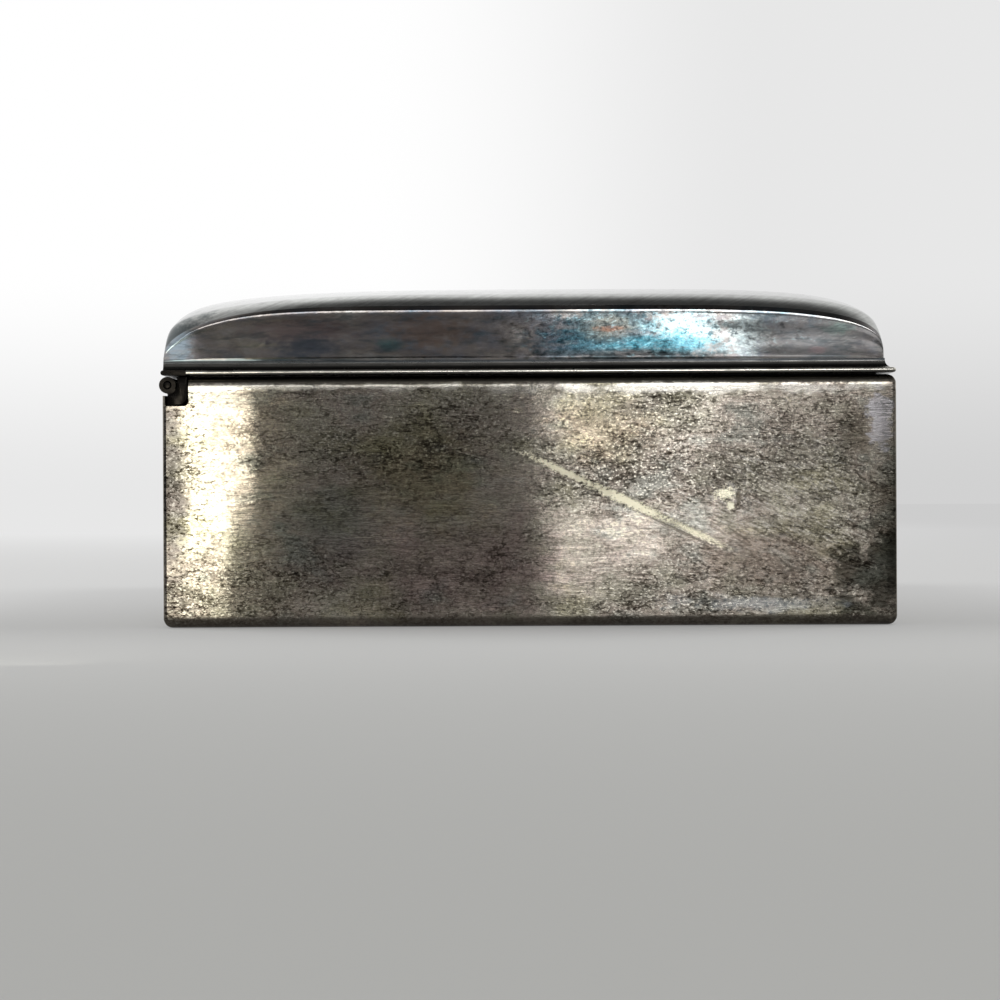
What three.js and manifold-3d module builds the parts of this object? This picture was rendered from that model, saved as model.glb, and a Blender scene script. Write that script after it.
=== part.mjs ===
// Silver table cigar box with a cushioned lid on a long pin hinge, lined with cedar.
// Millimetres, +Z up. The front is at -Y, the hinge at +Y, the length runs along X.
// The origin is the middle of the face that the box stands on.

import * as THREE from 'three';
import { mergeVertices } from 'three/addons/utils/BufferGeometryUtils.js';
import Module from 'manifold-3d';

// Case, over the silver
const LENGTH = 220;
const DEPTH = 145;
const BODY_HEIGHT = 49.6;
const SHEET = 1.0;
const FORM_RADIUS = 2.0; // bend of the walls along their top and foot
const CORNER_RADIUS = 0.8; // filed round on the upright corners
const RIM_REACH = 2.8; // rolled top edge of the walls, turned in
const FOOT_REACH = 6.0; // foot of the walls, turned in
const SEAM = 0.02; // solder line between mitred pieces
const FIT = 0.3; // running clearance between pieces

// Lid
const LID_GAP = 0.3; // air between the walls' rim and the closed lid
const LID_SETBACK = 2.2; // lid panels stand in from the edge of the flange
const FLANGE = 1.0;
const FLANGE_LAND = 0.6; // flat of the flange before the cove
const COVE_RISE = 1.6;
const BEAD_RISE = 0.3; // small step at the foot of the lid panels
const BEAD_STEP = 0.2;
const RISER = 0.6; // upright foot of the lid panels
const END_RISE = 9.3; // flat end panels, riser to crown
const CUSHION_SWELL = 7.0; // full section above the end panels
const CUSHION_ROLL = 40; // length over which the top rises from an end panel to its full section
const SHOULDER = 6; // quick first part of that rise
const SHOULDER_SHARE = 0.35;
const CROWN_RISE = 1.5; // further rise from the roll to the middle of the lid
const END_ARCH = { front: { along: 4.5, up: 3.0 }, rear: { along: 6.9, up: 1.5 } };
const FULL_ARCH = { front: { along: 4.4, up: 6.3 }, rear: { along: 2.5, up: 8.6 } };

// Hinge
const KNUCKLE_COUNT = 9; // odd ones on the body, even ones on the lid
const KNUCKLE_RADIUS = 1.65;
const PIN_RADIUS = 0.75;
const PIN_FIT = 0.1;
const PIN_CHAMFER = 0.2;
const PIN_PROUD = 0.2;
const HINGE_FIT = 0.25; // round the knuckles
const KNUCKLE_GAP = 0.3; // end to end
const KNUCKLE_SOLDER = 0.05;
const KNUCKLE_FOOT = 1.2; // half width of a lid knuckle's foot
const HINGE_INSET = 0.4; // bearers and knuckles end short of the end walls' faces
const BEARER_WALL = 2.0; // metal under and behind the hinge trough
const NOTCH_RADIUS = 2.0;
const STOP_DROP = 0.2; // rear wall ends below the trough; the open lid leans on it
const LID_BEARER_REACH = 4.7;
const REAR_LIP = 0.3;

// Cedar lining
const LINING = 2.8; // boards above their rebate
const LIP_RISE = 2.7; // lip above the walls' rim, which centres the lid
const LIP_ROUND = 0.8;
const FLOOR_LINING = 3.0;
const DIVIDER = 3.0;
const DIVIDER_HEIGHT = 38;
const GROOVE_DEPTH = 1.4;

// Facets
const ARC_STEPS = 5;
const KNUCKLE_STEPS = 16;
const CORNER_STEPS = 3;
const ACROSS_STEPS = 40;
const ROLL_STEPS = 10;
const MIDDLE_STEPS = 6;
const ACROSS_EASE = 1.6; // crowds the across steps towards the shoulders
const ROLL_EASE = 1.9; // crowds the rows towards the end panels

const HALF_LENGTH = LENGTH / 2;
const HALF_DEPTH = DEPTH / 2;
const FLANGE_BOTTOM = BODY_HEIGHT + LID_GAP;
const FLANGE_TOP = FLANGE_BOTTOM + FLANGE;
const COVE_TOP = FLANGE_TOP + COVE_RISE;
const LID_FOOT = COVE_TOP + BEAD_RISE;
const COVE_RUN = LID_SETBACK - BEAD_STEP - FLANGE_LAND;
const LID_INSIDE = LID_SETBACK + SHEET;
const LID_HALF_LENGTH = HALF_LENGTH - LID_SETBACK;

const TROUGH_RADIUS = KNUCKLE_RADIUS + HINGE_FIT;
const HINGE_Y = HALF_DEPTH - SHEET;
const HINGE_Z = FLANGE_BOTTOM - TROUGH_RADIUS;
const HINGE_HALF_LENGTH = HALF_LENGTH - HINGE_INSET;
const BODY_BEARER_REACH = SHEET + TROUGH_RADIUS + BEARER_WALL;
const BODY_BEARER_BOTTOM = HINGE_Z - TROUGH_RADIUS - BEARER_WALL;
const REAR_WALL_TOP = HINGE_Z - TROUGH_RADIUS - STOP_DROP;

const BASE_TOP = 2 * SHEET;
const LINING_OUTSIDE = SHEET + FIT;
const LIP_OUTSIDE = Math.max(LID_INSIDE, RIM_REACH) + FIT;
const LINING_INSIDE = LIP_OUTSIDE + LINING;
const LIP_TOP = BODY_HEIGHT + LIP_RISE;
const REBATE_Z = BODY_HEIGHT - SHEET - FIT;
const REAR_LINING_OUTSIDE = BODY_BEARER_REACH + FIT;
const REAR_LINING_Y = HALF_DEPTH - REAR_LINING_OUTSIDE;
const FLOOR_TOP = BASE_TOP + FLOOR_LINING;

const wasm = await Module();
wasm.setup();

// Solids for joining and cutting

function toSolid(geometry) {
  const plain = geometry.clone();
  plain.deleteAttribute('normal');
  plain.deleteAttribute('uv');
  const merged = mergeVertices(plain);
  return new wasm.Manifold(new wasm.Mesh({
    numProp: 3,
    vertProperties: new Float32Array(merged.attributes.position.array),
    triVerts: new Uint32Array(merged.index.array),
  }));
}

function toGeometry(solid) {
  const mesh = solid.getMesh();
  const geometry = new THREE.BufferGeometry();
  geometry.setAttribute('position', new THREE.BufferAttribute(mesh.vertProperties, 3));
  geometry.setIndex(new THREE.BufferAttribute(mesh.triVerts, 1));
  geometry.computeVertexNormals();
  return geometry;
}

function cut(geometry, ...cutters) {
  const solid = cutters.reduce((rest, cutter) => rest.subtract(toSolid(cutter)), toSolid(geometry));
  return toGeometry(solid);
}

// Moves every corner of a geometry to where place() sends it
function shaped(geometry, place) {
  const position = geometry.attributes.position;
  for (let i = 0; i < position.count; i += 1) {
    const [x, y, z] = place(position.getX(i), position.getY(i), position.getZ(i));
    position.setXYZ(i, x, y, z);
  }
  geometry.computeVertexNormals();
  return geometry;
}

function boxBetween([x0, y0, z0], [x1, y1, z1]) {
  const geometry = new THREE.BoxGeometry(x1 - x0, y1 - y0, z1 - z0);
  return geometry.translate((x0 + x1) / 2, (y0 + y1) / 2, (z0 + z1) / 2);
}

// The four sides of the case: distance along a side, inset from its outer face, height
const SIDES = {
  front: { half: HALF_LENGTH, at: (along, inset, z) => [along, inset - HALF_DEPTH, z] },
  right: { half: HALF_DEPTH, at: (along, inset, z) => [HALF_LENGTH - inset, along, z] },
  rear: { half: HALF_LENGTH, at: (along, inset, z) => [-along, HALF_DEPTH - inset, z] },
  left: { half: HALF_DEPTH, at: (along, inset, z) => [inset - HALF_LENGTH, -along, z] },
};

// Ends of a strip: where its end lies for a point at some inset, as [along, inset]
function mitre(half, step) {
  const start = half - FOOT_REACH - SHEET;
  return (inset) => {
    const share = step / (CORNER_STEPS + 1);
    const seam = step > CORNER_STEPS ? SEAM : 0;
    if (inset >= CORNER_RADIUS || step === 0) {
      return [start + (half - inset - start) * share - seam, inset];
    }
    const turn = (Math.PI / 4) * ((step - 1) / CORNER_STEPS);
    const radius = CORNER_RADIUS - inset;
    return [half - CORNER_RADIUS + radius * Math.sin(turn) - seam, CORNER_RADIUS - radius * Math.cos(turn)];
  };
}

function mitredEnd(half) {
  return Array.from({ length: CORNER_STEPS + 2 }, (_, step) => mitre(half, step));
}

function squareEnd(along) {
  return [(inset) => [along, inset]];
}

// A strip of one section (inset, height) along a side, from its start to its end
function strip(section, side, start, end) {
  const stations = [
    ...start.map((station) => (inset) => [-station(inset)[0], station(inset)[1]]).reverse(),
    ...end,
  ];
  const steps = stations.length - 1;
  const blank = new THREE.ExtrudeGeometry(section, {
    depth: 1, steps, bevelEnabled: false, curveSegments: ARC_STEPS,
  });
  return shaped(blank, (inset, z, run) => {
    const [along, moved] = stations[Math.round(run * steps)](inset);
    return SIDES[side].at(along, moved, z);
  });
}

// Body walls: sheet formed round at the foot and, but for the rear wall, rolled in at the top

function footOutline(shape) {
  shape.moveTo(FOOT_REACH, 0);
  shape.lineTo(FORM_RADIUS, 0);
  shape.absarc(FORM_RADIUS, FORM_RADIUS, FORM_RADIUS, -Math.PI / 2, -Math.PI, true);
}

function footInline(shape) {
  shape.lineTo(SHEET, FORM_RADIUS);
  shape.absarc(FORM_RADIUS, FORM_RADIUS, FORM_RADIUS - SHEET, -Math.PI, -Math.PI / 2, false);
  shape.lineTo(FOOT_REACH, SHEET);
}

function rolledWallSection() {
  const bend = BODY_HEIGHT - FORM_RADIUS;
  const shape = new THREE.Shape();
  footOutline(shape);
  shape.lineTo(0, bend);
  shape.absarc(FORM_RADIUS, bend, FORM_RADIUS, Math.PI, Math.PI / 2, true);
  shape.lineTo(RIM_REACH, BODY_HEIGHT);
  shape.lineTo(RIM_REACH, BODY_HEIGHT - SHEET);
  shape.lineTo(FORM_RADIUS, BODY_HEIGHT - SHEET);
  shape.absarc(FORM_RADIUS, bend, FORM_RADIUS - SHEET, Math.PI / 2, Math.PI, false);
  footInline(shape);
  return shape;
}

function plainWallSection() {
  const shape = new THREE.Shape();
  footOutline(shape);
  shape.lineTo(0, REAR_WALL_TOP);
  shape.lineTo(SHEET, REAR_WALL_TOP);
  footInline(shape);
  return shape;
}

// The end walls are cut out round the hinge, in their rear top corner
function hingeNotch(side) {
  const inner = HALF_DEPTH - BODY_BEARER_REACH - FIT;
  const bottom = BODY_BEARER_BOTTOM - FIT;
  const shape = new THREE.Shape();
  shape.moveTo(inner + NOTCH_RADIUS, bottom);
  shape.lineTo(DEPTH, bottom);
  shape.lineTo(DEPTH, 2 * BODY_HEIGHT);
  shape.lineTo(inner, 2 * BODY_HEIGHT);
  shape.lineTo(inner, bottom + NOTCH_RADIUS);
  shape.absarc(inner + NOTCH_RADIUS, bottom + NOTCH_RADIUS, NOTCH_RADIUS, Math.PI, 1.5 * Math.PI, false);
  const blank = new THREE.ExtrudeGeometry(shape, {
    depth: HALF_LENGTH, bevelEnabled: false, curveSegments: ARC_STEPS,
  });
  const from = side === 'left' ? -1.5 * HALF_LENGTH : HALF_LENGTH / 2;
  return shaped(blank, (y, z, run) => [from + run, y, z]);
}

function wall(section, side) {
  const ends = mitredEnd(SIDES[side].half);
  return strip(section, side, ends, ends);
}

function endWall(side) {
  return cut(wall(rolledWallSection(), side), hingeNotch(side));
}

function basePlate() {
  const inset = FORM_RADIUS + FIT;
  return boxBetween(
    [inset - HALF_LENGTH, inset - HALF_DEPTH, SHEET],
    [HALF_LENGTH - inset, HALF_DEPTH - inset, BASE_TOP],
  );
}

// Lid mouldings: a half-round flange, a cove and a small step that the lid panels stand on
function mouldingSection() {
  const nose = FLANGE / 2;
  const shape = new THREE.Shape();
  shape.moveTo(LID_INSIDE, FLANGE_BOTTOM);
  shape.lineTo(nose, FLANGE_BOTTOM);
  shape.absarc(nose, FLANGE_BOTTOM + nose, nose, -Math.PI / 2, -1.5 * Math.PI, true);
  shape.lineTo(FLANGE_LAND, FLANGE_TOP);
  shape.absellipse(FLANGE_LAND, COVE_TOP, COVE_RUN, COVE_RISE, -Math.PI / 2, 0, false);
  shape.lineTo(FLANGE_LAND + COVE_RUN, LID_FOOT);
  shape.lineTo(LID_INSIDE, LID_FOOT);
  return shape;
}

function frontMoulding() {
  const ends = mitredEnd(HALF_LENGTH);
  return strip(mouldingSection(), 'front', ends, ends);
}

// The end mouldings run to the rear face; their flange stops at the hinge bearer's
function endMoulding(side) {
  const front = mitredEnd(HALF_DEPTH);
  const rear = squareEnd(HALF_DEPTH);
  const full = side === 'left'
    ? strip(mouldingSection(), side, rear, front)
    : strip(mouldingSection(), side, front, rear);
  const bearer = boxBetween(
    [-LENGTH, HALF_DEPTH - LID_BEARER_REACH - SEAM, 0],
    [LENGTH, DEPTH, FLANGE_TOP + SEAM],
  );
  return cut(full, bearer);
}

// The lid's sections are two superellipse quarters that meet at the crown.
// swing goes from -90 degrees at the front foot to +90 at the rear foot; skin is the depth under the surface.
function archPoint(arch, rise, swing, skin) {
  const front = swing < 0;
  const quarter = front ? arch.front : arch.rear;
  const reach = (front ? HALF_DEPTH - LID_SETBACK : HALF_DEPTH) - skin;
  const turn = Math.abs(swing);
  const y = Math.sign(swing) * reach * Math.sin(turn) ** (2 / quarter.along);
  const z = (rise - skin) * Math.cos(turn) ** (2 / quarter.up);
  return [y, z];
}

// Share of the way from the end panel's section to the full one: a quick shoulder, then a slow rise
function rollShare(distance) {
  const shoulder = 1 - Math.min(distance / SHOULDER, 1);
  const slow = 1 - Math.min(distance / CUSHION_ROLL, 1);
  return SHOULDER_SHARE * (1 - shoulder ** 2) + (1 - SHOULDER_SHARE) * (1 - slow ** 2);
}

// Point of the lid's surface, by its distance from the outer face of the nearer end panel
function cushionPoint(distance, swing, skin) {
  const [endY, endZ] = archPoint(END_ARCH, END_RISE, swing, skin);
  const [fullY, fullZ] = archPoint(FULL_ARCH, END_RISE + CUSHION_SWELL, swing, skin);
  const blend = rollShare(distance);
  const y = endY + (fullY - endY) * blend;
  const middle = Math.max(distance - CUSHION_ROLL, 0) / (LID_HALF_LENGTH - CUSHION_ROLL);
  const crown = CROWN_RISE * (1 - (1 - middle) ** 2) * (1 - (y / HALF_DEPTH) ** 2);
  return [y, LID_FOOT + RISER + endZ + (fullZ - endZ) * blend + crown];
}

function swingAt(step) {
  const share = (2 * step) / ACROSS_STEPS - 1;
  return (Math.sign(share) * Math.abs(share) ** ACROSS_EASE * Math.PI) / 2;
}

// Distances from the end panel's face to each row of the top sheet, up to the middle
function cushionRows() {
  const start = SHEET + SEAM;
  const rows = [];
  for (let step = 0; step <= ROLL_STEPS; step += 1) {
    rows.push(start + (CUSHION_ROLL - start) * (step / ROLL_STEPS) ** ROLL_EASE);
  }
  for (let step = 1; step <= MIDDLE_STEPS / 2; step += 1) {
    rows.push(CUSHION_ROLL + ((LID_HALF_LENGTH - CUSHION_ROLL) * 2 * step) / MIDDLE_STEPS);
  }
  return rows;
}

// The top sheet starts as a flat plate of fine squares and is raised to the cushion
function lidTopSheet() {
  const rows = cushionRows();
  const along = 2 * (rows.length - 1);
  const across = ACROSS_STEPS + 2;
  const plate = new THREE.BoxGeometry(1, 1, 1, along, across, 1);
  return shaped(plate, (x, y, side) => {
    const row = Math.round((x + 0.5) * along);
    const column = Math.round((y + 0.5) * across);
    const skin = side > 0 ? 0 : SHEET;
    const distance = rows[Math.min(row, along - row)];
    const end = row < along / 2 ? -1 : 1;
    const foot = column === 0 || column === across;
    const swing = swingAt(Math.min(Math.max(column - 1, 0), ACROSS_STEPS));
    const [pointY, pointZ] = cushionPoint(distance, swing, skin);
    return [end * (LID_HALF_LENGTH - distance), pointY, foot ? LID_FOOT : pointZ];
  });
}

// Flat end panel, whose upper edge is sloped to meet the top sheet
function lidEnd(side) {
  const end = side === 'left' ? -1 : 1;
  const plate = new THREE.BoxGeometry(1, 1, 1, 1, ACROSS_STEPS, 1);
  return shaped(plate, (x, y, z) => {
    const distance = x * end > 0 ? 0 : SHEET;
    const [pointY, pointZ] = cushionPoint(distance, swingAt(Math.round((y + 0.5) * ACROSS_STEPS)), 0);
    return [end * (LID_HALF_LENGTH - distance), pointY, z > 0 ? pointZ : LID_FOOT];
  });
}

// Hinge sections are drawn about the hinge axis, (distance to the rear, height)

function alongHinge(shape, from, to, steps = ARC_STEPS) {
  const blank = new THREE.ExtrudeGeometry(shape, {
    depth: to - from, bevelEnabled: false, curveSegments: steps,
  });
  return shaped(blank, (u, w, run) => [from + run, HINGE_Y + u, HINGE_Z + w]);
}

// Drawn bearer soldered inside the rear wall, hollowed to a trough round the knuckles
function bodyHingeBearer() {
  const inner = -TROUGH_RADIUS - BEARER_WALL;
  const rounding = NOTCH_RADIUS - FIT;
  const shape = new THREE.Shape();
  shape.moveTo(0, inner);
  shape.lineTo(0, -TROUGH_RADIUS);
  shape.absarc(0, 0, TROUGH_RADIUS, -Math.PI / 2, -Math.PI, true);
  shape.lineTo(-TROUGH_RADIUS, BODY_HEIGHT - HINGE_Z);
  shape.lineTo(inner, BODY_HEIGHT - HINGE_Z);
  shape.lineTo(inner, inner + rounding);
  shape.absarc(inner + rounding, inner + rounding, rounding, Math.PI, 1.5 * Math.PI, false);
  return alongHinge(shape, -HINGE_HALF_LENGTH, HINGE_HALF_LENGTH);
}

// Drawn strip under the rear of the lid; its upstand stands between the end mouldings
function lidHingeBearer() {
  const bottom = FLANGE_BOTTOM - HINGE_Z;
  const top = bottom + FLANGE;
  const nose = FLANGE / 2;
  const rear = HALF_DEPTH + REAR_LIP - HINGE_Y;
  const shape = new THREE.Shape();
  shape.moveTo(HALF_DEPTH - LID_BEARER_REACH - HINGE_Y, bottom);
  shape.lineTo(rear - nose, bottom);
  shape.absarc(rear - nose, bottom + nose, nose, -Math.PI / 2, Math.PI / 2, false);
  shape.lineTo(SHEET, top);
  shape.lineTo(SHEET, LID_FOOT - HINGE_Z);
  shape.lineTo(0, LID_FOOT - HINGE_Z);
  shape.lineTo(0, top);
  shape.lineTo(HALF_DEPTH - LID_BEARER_REACH - HINGE_Y, top);
  const ends = [-1, 1].map((end) => {
    const inner = end * (HALF_LENGTH - LID_INSIDE - SEAM);
    return boxBetween(
      [Math.min(inner, end * LENGTH), 0, FLANGE_TOP],
      [Math.max(inner, end * LENGTH), DEPTH, 2 * BODY_HEIGHT],
    );
  });
  return cut(alongHinge(shape, -HALF_LENGTH, HALF_LENGTH), ...ends);
}

function bore() {
  const path = new THREE.Path();
  path.absarc(0, 0, PIN_RADIUS + PIN_FIT, 0, 2 * Math.PI, false);
  return path;
}

// Body knuckle: a tube with a sector of solder that fills the trough below it
function bodyKnuckleSection() {
  const solder = TROUGH_RADIUS - KNUCKLE_SOLDER;
  const from = Math.PI * 1.15;
  const to = Math.PI * 1.5;
  const shape = new THREE.Shape();
  shape.absarc(0, 0, solder, from, to, false);
  shape.absarc(0, 0, KNUCKLE_RADIUS, to, from + 2 * Math.PI, false);
  shape.holes.push(bore());
  return shape;
}

// Lid knuckle: a tube with a flat foot against the underside of the lid's bearer
function lidKnuckleSection() {
  const foot = Math.min(KNUCKLE_FOOT, KNUCKLE_RADIUS - SEAM);
  const angle = Math.acos(foot / KNUCKLE_RADIUS);
  const shape = new THREE.Shape();
  shape.moveTo(foot, TROUGH_RADIUS);
  shape.lineTo(-foot, TROUGH_RADIUS);
  shape.absarc(0, 0, KNUCKLE_RADIUS, Math.PI - angle, 2 * Math.PI + angle, false);
  shape.holes.push(bore());
  return shape;
}

function knuckle(index) {
  const span = 2 * HINGE_HALF_LENGTH + KNUCKLE_GAP;
  const from = -HINGE_HALF_LENGTH + (span * index) / KNUCKLE_COUNT;
  const to = from + span / KNUCKLE_COUNT - KNUCKLE_GAP;
  const section = index % 2 === 0 ? bodyKnuckleSection() : lidKnuckleSection();
  return alongHinge(section, from, to, KNUCKLE_STEPS);
}

function hingePin() {
  const half = HINGE_HALF_LENGTH + PIN_PROUD;
  const profile = [
    [0, -half],
    [PIN_RADIUS - PIN_CHAMFER, -half],
    [PIN_RADIUS, PIN_CHAMFER - half],
    [PIN_RADIUS, half - PIN_CHAMFER],
    [PIN_RADIUS - PIN_CHAMFER, half],
    [0, half],
  ].map(([radius, along]) => new THREE.Vector2(radius, along));
  const geometry = new THREE.LatheGeometry(profile, KNUCKLE_STEPS);
  return geometry.rotateZ(-Math.PI / 2).translate(0, HINGE_Y, HINGE_Z);
}

// Cedar boards. The lip above the rebate has rounded edges.
function liningTop(shape, outside, inside) {
  shape.lineTo(outside, LIP_TOP - LIP_ROUND);
  shape.absarc(outside + LIP_ROUND, LIP_TOP - LIP_ROUND, LIP_ROUND, Math.PI, Math.PI / 2, true);
  shape.lineTo(inside - LIP_ROUND, LIP_TOP);
  shape.absarc(inside - LIP_ROUND, LIP_TOP - LIP_ROUND, LIP_ROUND, Math.PI / 2, 0, true);
}

function rebatedSection() {
  const shape = new THREE.Shape();
  shape.moveTo(LINING_INSIDE, BASE_TOP);
  shape.lineTo(LINING_OUTSIDE, BASE_TOP);
  shape.lineTo(LINING_OUTSIDE, REBATE_Z);
  shape.lineTo(LIP_OUTSIDE, REBATE_Z);
  liningTop(shape, LIP_OUTSIDE, LINING_INSIDE);
  return shape;
}

function rearLiningSection() {
  const inside = REAR_LINING_OUTSIDE + LINING;
  const shape = new THREE.Shape();
  shape.moveTo(inside, BASE_TOP);
  shape.lineTo(REAR_LINING_OUTSIDE, BASE_TOP);
  liningTop(shape, REAR_LINING_OUTSIDE, inside);
  return shape;
}

// Groove for the divider, open at the top
function dividerGroove(fromY, toY) {
  const half = DIVIDER / 2 + FIT;
  return boxBetween([-half, fromY, FLOOR_TOP], [half, toY, 2 * BODY_HEIGHT]);
}

function frontLining() {
  const ends = mitredEnd(HALF_LENGTH);
  const face = LINING_INSIDE - HALF_DEPTH;
  const groove = dividerGroove(face - GROOVE_DEPTH, face + LINING);
  return cut(strip(rebatedSection(), 'front', ends, ends), groove);
}

function sideLining(side) {
  const front = mitredEnd(HALF_DEPTH);
  const rear = squareEnd(REAR_LINING_Y);
  return side === 'left'
    ? strip(rebatedSection(), side, rear, front)
    : strip(rebatedSection(), side, front, rear);
}

function rearLining() {
  const ends = squareEnd(HALF_LENGTH - LINING_INSIDE - FIT);
  const face = REAR_LINING_Y - LINING;
  const groove = dividerGroove(face - LINING, face + GROOVE_DEPTH);
  return cut(strip(rearLiningSection(), 'rear', ends, ends), groove);
}

function floorLining() {
  const endInset = LINING_INSIDE + FIT;
  return boxBetween(
    [endInset - HALF_LENGTH, endInset - HALF_DEPTH, BASE_TOP],
    [HALF_LENGTH - endInset, REAR_LINING_Y - LINING - FIT, FLOOR_TOP],
  );
}

function divider() {
  return boxBetween(
    [-DIVIDER / 2, LINING_INSIDE - GROOVE_DEPTH + FIT - HALF_DEPTH, FLOOR_TOP],
    [DIVIDER / 2, REAR_LINING_Y - LINING + GROOVE_DEPTH - FIT, FLOOR_TOP + DIVIDER_HEIGHT],
  );
}

// Colours and finishes
const BODY_SILVER = { color: 0x8b8279, metalness: 1, roughness: 0.36 };
const LID_SILVER = { color: 0x777a7f, metalness: 1, roughness: 0.22 };
const HINGE_SILVER = { color: 0x4a4743, metalness: 1, roughness: 0.45 };
const CEDAR = { color: 0xa8673c, metalness: 0, roughness: 0.7 };

const box = new THREE.Group();
const body = new THREE.Group();
const lid = new THREE.Group();
box.add(body, lid);

function add(group, name, geometry, finish) {
  const mesh = new THREE.Mesh(geometry, new THREE.MeshStandardMaterial(finish));
  mesh.name = name;
  group.add(mesh);
}

add(body, 'front_wall', wall(rolledWallSection(), 'front'), BODY_SILVER);
add(body, 'rear_wall', wall(plainWallSection(), 'rear'), BODY_SILVER);
add(body, 'left_wall', endWall('left'), BODY_SILVER);
add(body, 'right_wall', endWall('right'), BODY_SILVER);
add(body, 'base_plate', basePlate(), BODY_SILVER);
add(body, 'body_hinge_bearer', bodyHingeBearer(), HINGE_SILVER);
add(body, 'hinge_pin', hingePin(), HINGE_SILVER);
add(body, 'front_lining', frontLining(), CEDAR);
add(body, 'rear_lining', rearLining(), CEDAR);
add(body, 'left_lining', sideLining('left'), CEDAR);
add(body, 'right_lining', sideLining('right'), CEDAR);
add(body, 'floor_lining', floorLining(), CEDAR);
add(body, 'divider', divider(), CEDAR);

add(lid, 'lid_top_sheet', lidTopSheet(), LID_SILVER);
add(lid, 'lid_left_end', lidEnd('left'), LID_SILVER);
add(lid, 'lid_right_end', lidEnd('right'), LID_SILVER);
add(lid, 'lid_front_moulding', frontMoulding(), LID_SILVER);
add(lid, 'lid_left_moulding', endMoulding('left'), LID_SILVER);
add(lid, 'lid_right_moulding', endMoulding('right'), LID_SILVER);
add(lid, 'lid_hinge_bearer', lidHingeBearer(), HINGE_SILVER);

for (let index = 0; index < KNUCKLE_COUNT; index += 1) {
  const onBody = index % 2 === 0;
  const number = Math.floor(index / 2) + 1;
  add(onBody ? body : lid, `${onBody ? 'body' : 'lid'}_knuckle_${number}`, knuckle(index), HINGE_SILVER);
}

export default box;
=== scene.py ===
"""Silver table cigar box with a cushioned lid: its finished surfaces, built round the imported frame.

Sizes are in millimetres until a mesh is finished, then in metres, in the frame's own axes:
+X along the length and the hinge, +Y from the lifting lip to the hinge, +Z up.
"""

import logging
import math
from abc import ABC, abstractmethod
from collections.abc import Iterable, Sequence
from dataclasses import dataclass
from enum import Enum
from functools import cached_property

import bmesh
import bpy
from mathutils import Matrix, Vector, noise


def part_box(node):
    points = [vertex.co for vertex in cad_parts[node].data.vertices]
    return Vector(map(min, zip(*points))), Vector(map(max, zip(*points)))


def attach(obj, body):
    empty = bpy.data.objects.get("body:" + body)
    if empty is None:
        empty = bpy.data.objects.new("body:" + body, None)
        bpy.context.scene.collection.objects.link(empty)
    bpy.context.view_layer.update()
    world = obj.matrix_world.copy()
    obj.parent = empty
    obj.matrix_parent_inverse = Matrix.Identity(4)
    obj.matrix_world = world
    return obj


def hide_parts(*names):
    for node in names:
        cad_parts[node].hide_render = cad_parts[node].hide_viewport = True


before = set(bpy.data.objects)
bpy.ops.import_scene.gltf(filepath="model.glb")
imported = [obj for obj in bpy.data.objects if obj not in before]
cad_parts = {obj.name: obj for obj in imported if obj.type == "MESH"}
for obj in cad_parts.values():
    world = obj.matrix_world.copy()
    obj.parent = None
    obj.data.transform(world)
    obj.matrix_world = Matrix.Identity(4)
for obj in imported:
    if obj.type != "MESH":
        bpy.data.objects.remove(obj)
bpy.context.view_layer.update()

LOG = logging.getLogger("cigar_box")
MM = 0.001
CUT_TOLERANCE = 1e-4
SMOOTH_ANGLE = math.radians(32)
SQUARE_FOLD = 60.0  # degrees, past which an edge is a cut one
SHEET = 1.0  # thickness of the silver sheet
SEAM = 0.02  # solder between two pieces
CORNER_RADIUS = 0.8  # filed round of the upright corners
CORNER_STEPS = 6
SEAM_HEIGHT = 49.6  # where the lid's flange meets the rim
ALONG = Vector((1, 0, 0))
BACK = Vector((0, 1, 0))
UP = Vector((0, 0, 1))

Mesh = bmesh.types.BMesh
Vert = bmesh.types.BMVert
Edge = bmesh.types.BMEdge
Face = bmesh.types.BMFace
Socket = bpy.types.NodeSocket


def node_box(node: str) -> tuple[Vector, Vector]:
    """Returns the lowest and highest corner of a frame node, in millimetres."""
    low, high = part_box(node)
    return low / MM, high / MM


@dataclass(frozen=True)
class Measures:
    """Main sizes of the box in millimetres, read from the frame.

    Args:
        half_length: Half the length of the case.
        half_depth: Half the depth of the case.
        rim: Height of the walls' rolled edge.
        rear_rim: Height of the rear wall, under the hinge.
        flange: Height of the underside of the lid's flange.
        lid_foot: Height at which the lid's panels stand on their moulding.
        lid_half_length: Half the length over the lid's end panels.
        lid_front: Distance from the middle to the lid's front foot.
        lid_rear: Distance from the middle to the lid's rear foot.
        hinge_y: Place of the hinge axis along the depth.
        hinge_z: Height of the hinge axis.
        hinge_half: Half the length of the hinge.
    """

    half_length: float
    half_depth: float
    rim: float
    rear_rim: float
    flange: float
    lid_foot: float
    lid_half_length: float
    lid_front: float
    lid_rear: float
    hinge_y: float
    hinge_z: float
    hinge_half: float

    @classmethod
    def from_frame(cls) -> "Measures":
        """Returns the sizes measured on the frame's nodes."""
        wall_low, wall_high = node_box("front_wall")
        lid_low, lid_high = node_box("lid_top_sheet")
        pin_low, pin_high = node_box("hinge_pin")
        bearer_high = node_box("body_hinge_bearer")[1]
        return cls(
            half_length=node_box("right_wall")[1].x,
            half_depth=-wall_low.y,
            rim=wall_high.z,
            rear_rim=node_box("rear_wall")[1].z,
            flange=node_box("lid_front_moulding")[0].z,
            lid_foot=lid_low.z,
            lid_half_length=node_box("lid_right_end")[1].x,
            lid_front=-lid_low.y,
            lid_rear=lid_high.y,
            hinge_y=(pin_low.y + pin_high.y) / 2,
            hinge_z=(pin_low.z + pin_high.z) / 2,
            hinge_half=bearer_high.x,
        )


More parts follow.
